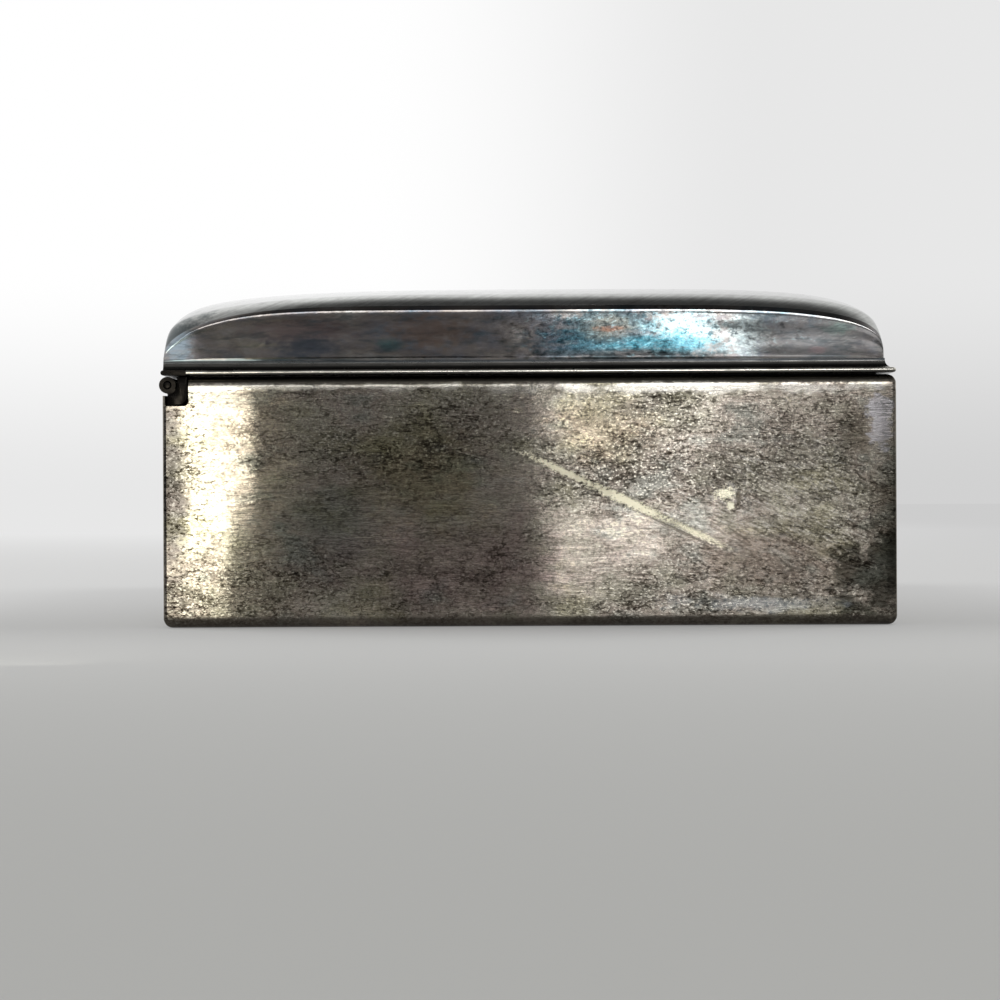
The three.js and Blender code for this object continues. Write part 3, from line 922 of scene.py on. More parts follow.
@dataclass(frozen=True)
class PlanedCedar(Finish):
    """Spanish cedar, planed and unvarnished: warm red-brown, straight grain, short dark pores.

    The lip is painted nearly black along the seam between the case and the lid: painted shade in the
    closed gap.

    Args:
        along: Axes along which the grain runs.
        shift: Shift of the grain between boards, in millimetres.
    """

    along: tuple[float, float, float] = (1.0, 0.0, 0.0)
    shift: tuple[float, float, float] = (0.0, 0.0, 0.0)

    def surface(self, nodes: Nodes) -> dict[str, Value]:
        """Adds the finish's nodes.

        Args:
            nodes: Nodes of the material.

        Returns:
            What goes into the shader, by the names of its inputs.
        """

        def stretched(length: float, width: float) -> tuple[float, float, float]:
            """Returns a mark's size with its length along the grain."""
            return tuple(length if way else width for way in self.along)

        rings = nodes.grain(stretched(220, 5.5), 3, 0.5, shift=self.shift)
        fibre = nodes.grain(stretched(40, 0.7), 3, 0.6, shift=self.shift)
        # Real pores are about 0.2 mm wide. These are as coarse as they need to show.
        pores = nodes.grain(stretched(4.5, 0.35), 1, 0.5, shift=self.shift)
        wood = nodes.add(
            "ValToRGB", (nodes.noise_sum(0.475, [(rings, 1.35), (fibre, 0.6)]),),
            stops=[(0.1, "#c88d61"), (0.4, "#b4764b"), (0.65, "#9e6038"), (0.95, "#84492a")],
        )
        dark = nodes.add("MapRange", (pores, 0.66, 0.76, 0.0, 1.0), EASED)
        up = nodes.add("SeparateXYZ", (nodes.place,), output="Z")
        # Painted shade in the closed gap between the case and the lid.
        over = nodes.add("MapRange", (up, SEAM_HEIGHT - 0.5, SEAM_HEIGHT - 0.2, 0.0, 1.0), EASED)
        under = nodes.add("MapRange", (up, SEAM_HEIGHT + 0.5, SEAM_HEIGHT + 0.9, 1.0, 0.0), EASED)
        painted_seam_shade = nodes.add("Math", (over, under), TIMES)
        return {
            "Base Color": nodes.layered(wood, [(dark, "#5b3019", PAINTED), (painted_seam_shade, "#140d08", PAINTED)]),
            "Roughness": nodes.add("MapRange", (fibre, 0.3, 0.7, 0.55, 0.72), EASED),
            "Normal": nodes.bent_by([(fibre, 0.03), (dark, -0.06)]),
        }


BODY_SILVER = BrushedTarnishedSilver("brushed_tarnished_silver")
LEFT_WALL_SILVER = BrushedTarnishedSilver(
    "brushed_tarnished_silver_scratched",
    stains=(
        Stain((-71, 12), (5, 14), "#7f7f78", 0.4),
        Stain((-70, 9), (8, 8), "#6f7470", 0.8, soft=0.3, rag=2.6),
        Stain((-64, 38), (3, 6), "#7f7b70", 0.6),
        Stain((71, 28), (3.5, 20), "#73737c", 0.9),
        Stain((14, 12), (22, 9), "#dccfd6", 0.8),
        Stain((22, 31), (12, 9), "#d6d5bb", 0.8),
        Stain((41, 20), (10, 8), "#c2c8ce", 0.8),
        Stain((-14, 39), (9, 6), "#f3ebd6", 0.7),
        Stain((-80, 24), (14, 22), "#b5b3a8", 0.7),
        Stain((-49, 13), (14, 6), "#d8d0cc", 0.8),
    ),
    rubs_and_highlights=(
        # Painted highlight along the start of the upper bend, with some rubbing wear, in two stretches.
        Stain((-32, 47.1), (38, 0.85), "#d2cec6", 0.55, rag=2.4),
        Stain((38, 47.5), (36, 0.45), "#e2ddd2", 0.8, rag=3.2),
        Stain((-69.5, 40.5), (2.4, 5), "#a3a1a5", 0.7, soft=0.25, rag=2.4),
        Stain((-42.5, 4.5), (11, 1.3), "#a9afb2", 0.35, rag=2.2),
    ),
    uneven=1.0,
    lined=0.0,
    etching=1.0,
    curls=0.85,
    etched=(
        Stain((-22, 36), (22, 10), strength=0.55),
        Stain((-42.5, 4.5), (11, 1.6), strength=0.9),
        Stain((69, 27), (6, 24), strength=0.9),
    ),
    scuffed=(Stain((-50, 22), (20, 16), "#c9c5bf", 0.7),),
    marks=(
        Stain((-32, 18.7), (6, 0.6), "#d3cdb4", 0.75, turn=25.2, soft=0.6, rag=1.5),
        Stain((-19.5, 24.5), (10, 0.9), "#dad4bb", 0.95, turn=25.2, soft=0.4, rag=1.5),
        Stain((-7.5, 30.2), (7.5, 0.65), "#dad4bb", 0.95, turn=25.2, soft=0.4, rag=1.5),
        Stain((-29, 18.9), (6, 0.3), "#4d463c", 0.6, turn=25.2, soft=0.5, rag=1.5),
        Stain((-38.5, 26.1), (1.9, 1.1), "#d5d0ba", 0.8, soft=0.5, rag=2.0),
        Stain((-39.6, 23.7), (0.7, 0.8), "#d5d0ba", 0.9, soft=0.3, rag=0.9),
        # Painted shadow on the right side of the pit.
        Stain((-41.2, 25.4), (0.5, 1.6), "#4d463c", 0.8, soft=0.4, rag=1.2),
    ),
)
LID_SILVER = FilmedSilver("filmed_silver")
CUSHION_SILVER = FilmedSilver(
    "filmed_silver_thin", film=0.0, variety=0.2, scratched=0.4,
    # Painted dark reflection along the rear edge of the cushion.
    stains=(Stain((73, 57), (10, 8), "#3b4447", 0.9),),
)
LEFT_LID_SILVER = FilmedSilver(
    "filmed_silver_stained",
    smears=1.0,
    speckled=(Stain((-24, 58.6), (24, 4.8), "#6f8a90", 0.9),),
    stains=(
        # Painted highlight: bluish white at the panel's rear corner.
        Stain((69.5, 56), (2.4, 4), "#93a3ae", 0.8),
        Stain((50, 52.85), (27, 0.4), "#454c50", 0.9, rag=0.6),
        Stain((46, 58.7), (9, 2.6), "#827270", 0.7),
        Stain((44.6, 55.3), (6, 2), "#59626e", 0.8),
        Stain((27.6, 56), (2.4, 1.2), "#52797a", 0.7),
        Stain((19.8, 58.5), (7, 3), "#7f6c60", 0.7),
        Stain((-8, 56.4), (7, 2.6), "#486070", 0.8),
        Stain((-17, 57.2), (10, 4.5), "#4f7a88", 0.85),
        Stain((-15.5, 58.8), (7, 3.4), "#375f6c", 0.85, rag=0.9),
        Stain((-16, 59.2), (5, 2.3), "#8c8d85", 0.9, rag=0.9),
        Stain((-15.8, 58.9), (2.4, 0.6), "#a47862", 0.75),
        Stain((-31, 58.8), (6, 2.6), "#a9cfd6", 0.8),
        Stain((-28, 55.6), (9, 2.2), "#4f93a4", 0.8),
        Stain((-21, 53.4), (18, 1.2), "#2f3132", 0.95),
        Stain((-70.5, 56.5), (1.8, 5), "#3f413d", 0.85),
        Stain((-43, 58), (4, 4), "#c4d2d2", 0.7),
        Stain((-57, 57), (11, 5), "#8c8c8c", 0.8),
        Stain((-61.5, 58.8), (2.4, 1.2), "#80968f", 0.6),
        Stain((-57.3, 54.6), (1.6, 0.7), "#a08a8c", 0.6),
    ),
)
# The moulding carries a painted highlight along its crest.
MOULDING_SILVER = DrawnSilver("drawn_silver", crest=(50.4, 50.95))
# The hinge is painted nearly black all over, far darker than the moulding.
HINGE_SILVER = DrawnSilver("drawn_silver_dark", dark="#0b0a0a", light="#1b1917")


@dataclass(frozen=True)
class Identity:
    """What a piece is called, and where it belongs.

    Args:
        name: Name of the piece.
        node: Frame node that it stands for.
        body: Body that it rides on.
        slot: Material slot of the record; not used.
    """

    name: str
    node: str
    body: str
    slot: str


def lay_brush_map(mesh: Mesh, brush: Vector) -> None:
    """Lays a flat map on each face, with its first direction along the brush lines.

    Args:
        mesh: Mesh to map.
        brush: Direction of the brush lines.
    """
    layer = mesh.loops.layers.uv.new("Brush")
    facing_limit = 0.3
    for face in mesh.faces:
        along = brush - face.normal * brush.dot(face.normal)
        if along.length < facing_limit:
            along = face.normal.orthogonal()
        along.normalize()
        across = face.normal.cross(along)
        for loop in face.loops:
            place = loop.vert.co
            loop[layer].uv = (place.dot(along), place.dot(across))


def add_object(name: str, data: bpy.types.ID) -> bpy.types.Object:
    """Makes an object and links it to the scene.

    Args:
        name: Name of the object.
        data: Its mesh, lamp or camera.

    Returns:
        The object.
    """
    added = bpy.data.objects.new(name, data)
    bpy.context.scene.collection.objects.link(added)
    return added


def to_metres(mesh: Mesh) -> None:
    """Scales a mesh drawn in millimetres to metres."""
    bmesh.ops.scale(mesh, vec=(MM, MM, MM), verts=mesh.verts[:])


def to_object(mesh: Mesh, name: str, material: bpy.types.Material) -> bpy.types.Object:
    """Turns a mesh in metres into an object of one material.

    Args:
        mesh: The mesh, which is used up.
        name: Name of the object.
        material: Its material.

    Returns:
        The object.
    """
    data = bpy.data.meshes.new(name)
    mesh.to_mesh(data)
    mesh.free()
    data.materials.append(material)
    return add_object(name, data)


def finish_piece(mesh: Mesh, identity: Identity, finish: Finish, brush: Vector = ALONG) -> None:
    """Turns a finished mesh in millimetres into a dressed object on its body.

    Args:
        mesh: The mesh, which is used up.
        identity: Name, node, body and slot of the piece.
        finish: Its surface.
        brush: Direction of the brush lines.
    """
    bmesh.ops.remove_doubles(mesh, verts=mesh.verts[:], dist=CUT_TOLERANCE)
    bmesh.ops.recalc_face_normals(mesh, faces=mesh.faces[:])
    mesh.normal_update()
    to_metres(mesh)
    lay_brush_map(mesh, brush)
    piece = to_object(mesh, identity.name, finish.material())
    piece.data.polygons.foreach_set("use_smooth", [True] * len(piece.data.polygons))
    piece.data.set_sharp_from_angle(angle=SMOOTH_ANGLE)
    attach(piece, identity.body)
    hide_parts(identity.node)
    LOG.info("%s: %d faces", identity.name, len(piece.data.polygons))


# Strips and boards


def side_matrix(side: Side, sizes: Measures) -> Matrix:
    """Returns the transform from a strip's own axes to its side of the box."""
    turn = Matrix.Rotation(math.radians(side.value), 4, "Z")
    return turn @ Matrix.Translation((0, -side.reach(sizes), 0))


def cut_corner_stations(mesh: Mesh, half_run: float) -> None:
    """Cuts a strip near both ends into the faces from which its upright corners are rounded."""
    for end in (-1, 1):
        insets = [1 - math.tan(math.pi / 4 * step / CORNER_STEPS) for step in range(CORNER_STEPS)]
        cross_cuts(mesh, ALONG, [end * (half_run - CORNER_RADIUS * inset) for inset in insets])


def file_corners(mesh: Mesh, half_run: float, square_end: int = 0) -> None:
    """Rounds the upright outer corners of a strip.

    Args:
        mesh: Strip in its own axes, its outer face at a depth of 0.
        half_run: Half the outer length of the strip.
        square_end: End that stays square: 1, -1, or 0 for neither.
    """
    for vert in mesh.verts:
        end = math.copysign(1, vert.co.x)
        from_end = half_run - abs(vert.co.x)
        if from_end < CORNER_RADIUS and vert.co.y < CORNER_RADIUS and end != square_end:
            away = Vector((CORNER_RADIUS - from_end, CORNER_RADIUS - vert.co.y))
            reach = max(away)
            away.normalize()
            vert.co.x = end * (half_run - CORNER_RADIUS + away.x * reach)
            vert.co.y = CORNER_RADIUS - away.y * reach


def saw_ends(mesh: Mesh, half_run: float, square_end: int = 0, square_at: float = 0.0) -> None:
    """Mitres the ends of a strip, from their outer corners inwards, or saws one of them square.

    Args:
        mesh: Strip in its own axes.
        half_run: Half the outer length of the strip.
        square_end: End that is sawn square: 1, -1, or 0 for neither.
        square_at: Distance of that saw cut from the middle.
    """
    for end in (-1, 1):
        if end == square_end:
            trim(mesh, (end * square_at, 0, 0), Vector((end, 0, 0)))
        else:
            trim(mesh, (end * (half_run - SEAM), 0, 0), Vector((end, 1, 0)).normalized())


def board(node: str, ease_edges: float) -> Mesh:
    """Makes a flat board that fills a frame node's box, with eased edges.

    Args:
        node: Frame node.
        ease_edges: Round of its edges.

    Returns:
        The mesh.
    """
    low, high = node_box(node)
    mesh = bmesh.new()
    bmesh.ops.create_cube(mesh, size=1.0)
    bmesh.ops.scale(mesh, vec=high - low, verts=mesh.verts[:])
    bmesh.ops.translate(mesh, vec=(low + high) / 2, verts=mesh.verts[:])
    round_edges(mesh, mesh.edges[:], ease_edges, 3)
    return mesh


# The body


@dataclass
class BodyCase:
    """The soldered case: four formed walls and a base plate.

    Args:
        sizes: Sizes read from the frame.
        form_radius: Outer radius of the bends along the rim and the foot.
        rim_reach: Width of the rolled rim.
        foot_reach: Width of the turned-in foot.
        notch_radius: Inner round of the cut for the hinge.
        plate_round: Round of the base plate's edges.
        cell: Widest face on the flat of a wall.
        fade: Distance from a bend over which the waviness fades in.
        seed_step: Change of the waviness between sides, for each degree.
    """

    sizes: Measures
    form_radius: float = 2.0
    rim_reach: float = 2.8
    foot_reach: float = 6.0
    notch_radius: float = 2.0
    plate_round: float = 0.15
    cell: float = 3.0
    fade: float = 9.0
    seed_step: float = 0.37

    def _section(self, mesh: Mesh, start: float, rolled: bool) -> list[Face]:
        """Draws the section of a wall, formed along its foot.

        Args:
            mesh: Mesh to draw in.
            start: Place of the section along X.
            rolled: True for a rolled rim, False for a plain top edge.

        Returns:
            The faces of the section.
        """
        radius = self.form_radius
        rim = self.sizes.rim
        plain = self.sizes.rear_rim
        pen = SectionPen(mesh, start, (self.foot_reach, 0))
        pen.line(radius, 0).arc((radius, radius), -90)
        if rolled:
            pen.line(0, rim - radius).arc((radius, rim - radius), -90).line(self.rim_reach, rim)
            pen.line(self.rim_reach, rim - SHEET).line(radius, rim - SHEET).arc((radius, rim - radius), 90)
        else:
            pen.line(0, plain).line(SHEET, plain)
        pen.line(SHEET, radius).arc((radius, radius), 90).line(self.foot_reach, SHEET)
        return pen.face()

    def _wave(self, mesh: Mesh, half_run: float, top: float, waviness: Waviness) -> None:
        """Gives the flat of a wall its slight waviness, inwards only.

        Args:
            mesh: Wall in its own axes.
            half_run: Half the length of the wall.
            top: Height of the wall.
            waviness: Pattern of the hollows.
        """
        cross_cuts(mesh, ALONG, spread(-half_run, half_run, self.cell))
        cross_cuts(mesh, UP, spread(self.form_radius, top - self.form_radius, self.cell))
        for vert in mesh.verts:
            edge = min(half_run - abs(vert.co.x), vert.co.z, top - vert.co.z) - self.form_radius
            if vert.co.y <= SHEET + CUT_TOLERANCE and edge > 0:
                vert.co.y += waviness.at(vert.co.x, vert.co.z) * ease(edge / self.fade)

    def wall(self, side: Side) -> Mesh:
        """Forms, mitres and rounds one wall.

        Args:
            side: Side of the case.

        Returns:
            The wall's mesh, in its place.
        """
        mesh = bmesh.new()
        half_run = side.half_run(self.sizes)
        rolled = side is not Side.REAR
        draw_out(mesh, self._section(mesh, -half_run - 1, rolled), (2 * half_run + 2, 0, 0))
        cut_corner_stations(mesh, half_run)
        saw_ends(mesh, half_run)
        top = self.sizes.rim if rolled else self.sizes.rear_rim
        self._wave(mesh, half_run, top, Waviness(seed=side.value * self.seed_step))
        file_corners(mesh, half_run)
        mesh.transform(side_matrix(side, self.sizes))
        if side.rear_end():
            self._cut_for_hinge(mesh)
        return mesh

    def _cut_for_hinge(self, mesh: Mesh) -> None:
        """Cuts the rear top corner of an end wall out round the hinge.

        Args:
            mesh: The wall, in its place.
        """
        bearer = node_box("body_hinge_bearer")[0]
        clear = bearer.y - node_box("rear_lining")[1].y
        inner = Vector((0, bearer.y - clear, 0))
        bottom = Vector((0, 0, bearer.z - clear))
        notch(mesh, (inner, BACK), (bottom, UP), self.notch_radius)

    def build(self) -> None:
        """Builds and dresses the walls and the base."""
        for side in Side:
            node = f"{side.name.lower()}_wall"
            identity = Identity(f"silver_{node}", node, "body", "body_silver")
            finish = LEFT_WALL_SILVER if side is Side.LEFT else BODY_SILVER
            finish_piece(self.wall(side), identity, finish, side.brush())
        identity = Identity("silver_base", "base_plate", "body", "body_silver")
        finish_piece(board("base_plate", self.plate_round), identity, BODY_SILVER)


# The hinge


@dataclass
class PinHinge:
    """The long pin hinge: two drawn bearers, nine knuckles and the pin.

    Args:
        sizes: Sizes read from the frame.
        knuckle_radius: Outer radius of the knuckles.
        bore_radius: Radius of their bore.
        trough_radius: Radius of the trough in the body's bearer.
        bearer_wall: Metal under and in front of the trough.
        bearer_round: Outer round of the body's bearer.
        foot: Half width of a lid knuckle's flat foot.
        solder: Gap between the solder and the trough.
        solder_start: Turn about the axis at which the solder starts, in degrees. It ends at the foot.
        end_round: Round of the cut edges.
        pin_round: Round of the pin's ends.
        bore_steps: Faces round the bore.
        arc_steps: Faces round a knuckle.
        solder_steps: Faces across the solder.
        slack: How far inside the outer radius an edge still counts as an outer one.
    """

    sizes: Measures
    knuckle_radius: float = 1.65
    bore_radius: float = 0.85
    trough_radius: float = 1.9
    bearer_wall: float = 2.0
    bearer_round: float = 1.7
    foot: float = 1.2
    solder: float = 0.05
    solder_start: float = 207.0
    end_round: float = 0.12
    pin_round: float = 0.25
    bore_steps: int = 32
    arc_steps: int = 24
    solder_steps: int = 8
    slack: float = 0.01

    def _at_axis(self, mesh: Mesh) -> Mesh:
        """Moves a mesh drawn about the origin to the hinge axis, and returns it."""
        bmesh.ops.translate(mesh, vec=(0, self.sizes.hinge_y, self.sizes.hinge_z), verts=mesh.verts[:])
        return mesh

    def body_bearer(self) -> Mesh:
        """Returns the drawn bearer inside the rear wall, hollowed round the knuckles."""
        mesh = bmesh.new()
        inner = -self.trough_radius - self.bearer_wall
        top = self.sizes.rim - self.sizes.hinge_z
        centre = (inner + self.bearer_round, inner + self.bearer_round)
        pen = SectionPen(mesh, -self.sizes.hinge_half, (0, inner))
        pen.line(0, -self.trough_radius).arc((0, 0), -90, self.arc_steps // 2)
        pen.line(-self.trough_radius, top).line(inner, top).line(inner, inner + self.bearer_round)
        pen.arc(centre, 90)
        draw_out(mesh, pen.face(), (2 * self.sizes.hinge_half, 0, 0))
        round_edges(mesh, sharp_edges(mesh), self.end_round, 2)
        return self._at_axis(mesh)

    def lid_bearer(self) -> Mesh:
        """Returns the drawn strip under the rear of the lid, with its upstand."""
        low, high = node_box("lid_hinge_bearer")
        mesh = bmesh.new()
        nose = SHEET / 2
        top = low.z + SHEET
        wall = self.sizes.hinge_y
        pen = SectionPen(mesh, low.x, (low.y, low.z))
        pen.line(high.y - nose, low.z).arc((high.y - nose, low.z + nose), 180)
        pen.line(wall + SHEET, top).line(wall + SHEET, high.z).line(wall, high.z)
        pen.line(wall, top).line(low.y, top)
        draw_out(mesh, pen.face(), (high.x - low.x, 0, 0))
        upstand = node_box("lid_right_end")[0].x - SEAM
        for end in (-1, 1):
            notch(mesh, (ALONG * end * upstand, ALONG * end), (UP * top, UP))
        return mesh

    def _knuckle_outline(self, mesh: Mesh, start: float, on_body: bool) -> list[Edge]:
        """Draws a knuckle's outer line about the hinge axis.

        Args:
            mesh: Mesh to draw in.
            start: Place along the hinge.
            on_body: True for a knuckle of the body, with its sector of solder.

        Returns:
            The edges of the outline.
        """
        radius = self.knuckle_radius
        if on_body:
            outer = self.trough_radius - self.solder
            first = math.radians(self.solder_start)
            sector = 270 - self.solder_start
            pen = SectionPen(mesh, start, (outer * math.cos(first), outer * math.sin(first)))
            pen.arc((0, 0), sector, self.solder_steps).line(0, -radius)
            pen.arc((0, 0), 360 - sector, self.arc_steps + self.solder_steps)
            return pen.edges()
        angle = math.acos(self.foot / radius)
        pen = SectionPen(mesh, start, (self.foot, self.trough_radius))
        pen.line(-self.foot, self.trough_radius)
        pen.line(-self.foot, radius * math.sin(angle))
        pen.arc((0, 0), 180 + 2 * math.degrees(angle), self.arc_steps)
        return pen.edges()

    def knuckle(self, node: str, on_body: bool) -> Mesh:
        """Makes one knuckle: a tube with its solder or its foot.

        Args:
            node: Frame node of the knuckle.
            on_body: True for a knuckle of the body.

        Returns:
            The mesh.
        """
        low, high = node_box(node)
        mesh = bmesh.new()
        outline = self._knuckle_outline(mesh, low.x, on_body)
        ring = bmesh.ops.create_circle(
            mesh, segments=self.bore_steps, radius=self.bore_radius, cap_ends=False,
            matrix=Matrix.Translation((low.x, 0, 0)) @ Matrix.Rotation(math.pi / 2, 4, "Y"),
        )
        bore = {edge for vert in ring["verts"] for edge in vert.link_edges}
        faces = bmesh.ops.bridge_loops(mesh, edges=outline + list(bore))["faces"]
        draw_out(mesh, faces, (high.x - low.x, 0, 0))
        outside = self.knuckle_radius - self.slack
        ends = [
            edge for edge in sharp_edges(mesh)
            if abs(edge.verts[0].co.x - edge.verts[1].co.x) < CUT_TOLERANCE
            and min(vert.co.yz.length for vert in edge.verts) > outside
        ]
        round_edges(mesh, ends, self.end_round, 2)
        return self._at_axis(mesh)

    def pin(self) -> Mesh:
        """Returns the hinge wire, with domed ends."""
        low, high = node_box("hinge_pin")
        mesh = bmesh.new()
        radius = (high.y - low.y) / 2
        bmesh.ops.create_cone(
            mesh, cap_ends=True, segments=self.bore_steps, radius1=radius, radius2=radius,
            depth=high.x - low.x, matrix=Matrix.Rotation(math.pi / 2, 4, "Y"),
        )
        round_edges(mesh, sharp_edges(mesh), self.pin_round, 4)
        return self._at_axis(mesh)

    def build(self) -> None:
        """Builds and dresses every piece of the hinge."""
        pieces = [
            ("body_hinge_bearer", "body", self.body_bearer()),
            ("hinge_pin", "body", self.pin()),
            ("lid_hinge_bearer", "lid", self.lid_bearer()),
        ]
        for body, count in (("body", 5), ("lid", 4)):
            nodes = [f"{body}_knuckle_{number}" for number in range(1, count + 1)]
            pieces += [(node, body, self.knuckle(node, body == "body")) for node in nodes]
        for node, body, mesh in pieces:
            finish_piece(mesh, Identity(f"silver_{node}", node, body, "hinge_silver"), HINGE_SILVER)


# The cedar lining


@dataclass
class CedarLining:
    """Cedar boards inside the case: four sides with a raised lip, a floor and a divider.

    Args:
        sizes: Sizes read from the frame.
        thickness: Thickness of a side board's lip.
        lip_round: Round of the lip's edges.
        edge_round: Round of the floor's and the divider's edges.
        fit: Play between the boards and what they stand in.
        groove_depth: Depth of the divider's grooves.
        groove_wall: Width of the grooves' steep sides.
    """

    sizes: Measures
    thickness: float = 2.8
    lip_round: float = 0.8
    edge_round: float = 0.4
    fit: float = 0.3
    groove_depth: float = 1.4
    groove_wall: float = 0.01

    def _lip(self, pen: SectionPen, outside: float, inside: float, top: float) -> None:
        """Draws the rounded lip from its outer face to its inner one.

        Args:
            pen: The pen, under the lip's outer face.
            outside: Depth of the outer face.
            inside: Depth of the inner face.
            top: Height of the lip.
        """
        radius = self.lip_round
        pen.line(outside, top - radius).arc((outside + radius, top - radius), -90)
        pen.line(inside - radius, top).arc((inside - radius, top - radius), -90)

    def side_board(self, side: Side, node: str) -> Mesh:
        """Makes a front, left or right board, rebated under the rolled rim of its wall.

        Args:
            side: Side of the case.
            node: Frame node of the board.

        Returns:
            The mesh.
        """
        low, high = node_box(node)
        face = {Side.FRONT: -low.y, Side.LEFT: -low.x, Side.RIGHT: high.x}[side]
        outside = side.reach(self.sizes) - face
        lip_outside = self._lip_outside()
        inside = lip_outside + self.thickness
        rebate = self.sizes.rim - SHEET - self.fit
        half_run = side.half_run(self.sizes)
        mesh = bmesh.new()
        pen = SectionPen(mesh, -half_run, (inside, low.z))
        pen.line(outside, low.z).line(outside, rebate).line(lip_outside, rebate)
        self._lip(pen, lip_outside, inside, high.z)
        draw_out(mesh, pen.face(), (2 * half_run, 0, 0))
        saw_ends(mesh, half_run, side.rear_end(), high.y)
        if side is Side.FRONT:
            self._groove(mesh, inside - self.groove_depth)
        mesh.transform(side_matrix(side, self.sizes))
        return mesh

    def _lip_outside(self) -> float:
        """Returns how far the lip stands in from the case's outer face."""
        return self.sizes.half_length - node_box("rear_lining")[1].x - self.thickness - self.fit

    def _groove(self, mesh: Mesh, depth: float) -> None:
        """Cuts the divider's groove into a board's inner face.

        Args:
            mesh: Board in its own axes.
            depth: Depth of the groove's bottom, from the case's outer face.
        """
        half = node_box("divider")[1].x + self.fit
        floor = node_box("divider")[0].z
        wall = self.groove_wall
        cross_cuts(mesh, ALONG, (-half, wall - half, half - wall, half))
        cross_cuts(mesh, UP, (floor - wall, floor))
        for vert in mesh.verts:
            if abs(vert.co.x) < half - wall / 2 and vert.co.z > floor - wall / 2:
                vert.co.y = min(vert.co.y, depth)

    def rear_board(self) -> Mesh:
        """Returns the rear board, which stands between the side boards."""
        low, high = node_box("rear_lining")
        outside = self.sizes.half_depth - high.y
        inside = self.sizes.half_depth - low.y
        mesh = bmesh.new()
        pen = SectionPen(mesh, low.x, (inside, low.z))
        pen.line(outside, low.z)
        self._lip(pen, outside, inside, high.z)
        draw_out(mesh, pen.face(), (high.x - low.x, 0, 0))
        self._groove(mesh, inside - self.groove_depth)
        mesh.transform(side_matrix(Side.REAR, self.sizes))
        return mesh

    def build(self) -> None:
        """Builds and dresses the boards."""
        along_x = (1.0, 0.0, 0.0)
        along_y = (0.0, 1.0, 0.0)
        board_shift = (17.0, 31.0, 11.0)
        boards = [
            ("front_lining", self.side_board(Side.FRONT, "front_lining"), along_x),
            ("rear_lining", self.rear_board(), along_x),
            ("left_lining", self.side_board(Side.LEFT, "left_lining"), along_y),
            ("right_lining", self.side_board(Side.RIGHT, "right_lining"), along_y),
            ("floor_lining", board("floor_lining", self.edge_round), along_x),
            ("divider", board("divider", self.edge_round), along_y),
        ]
        for number, (node, mesh, along) in enumerate(boards):
            shift = tuple(step * number for step in board_shift)
            cedar = PlanedCedar(f"planed_cedar_{node}", along=along, shift=shift)
            finish_piece(mesh, Identity(f"cedar_{node}", node, "body", "cedar"), cedar)


# The lid


@dataclass(frozen=True)
class Quarter:
    """One quarter of a lid section, a superellipse from the foot to the crown.

    Args:
        along: Exponent along the depth.
        up: Exponent along the height.
    """

    along: float
    up: float


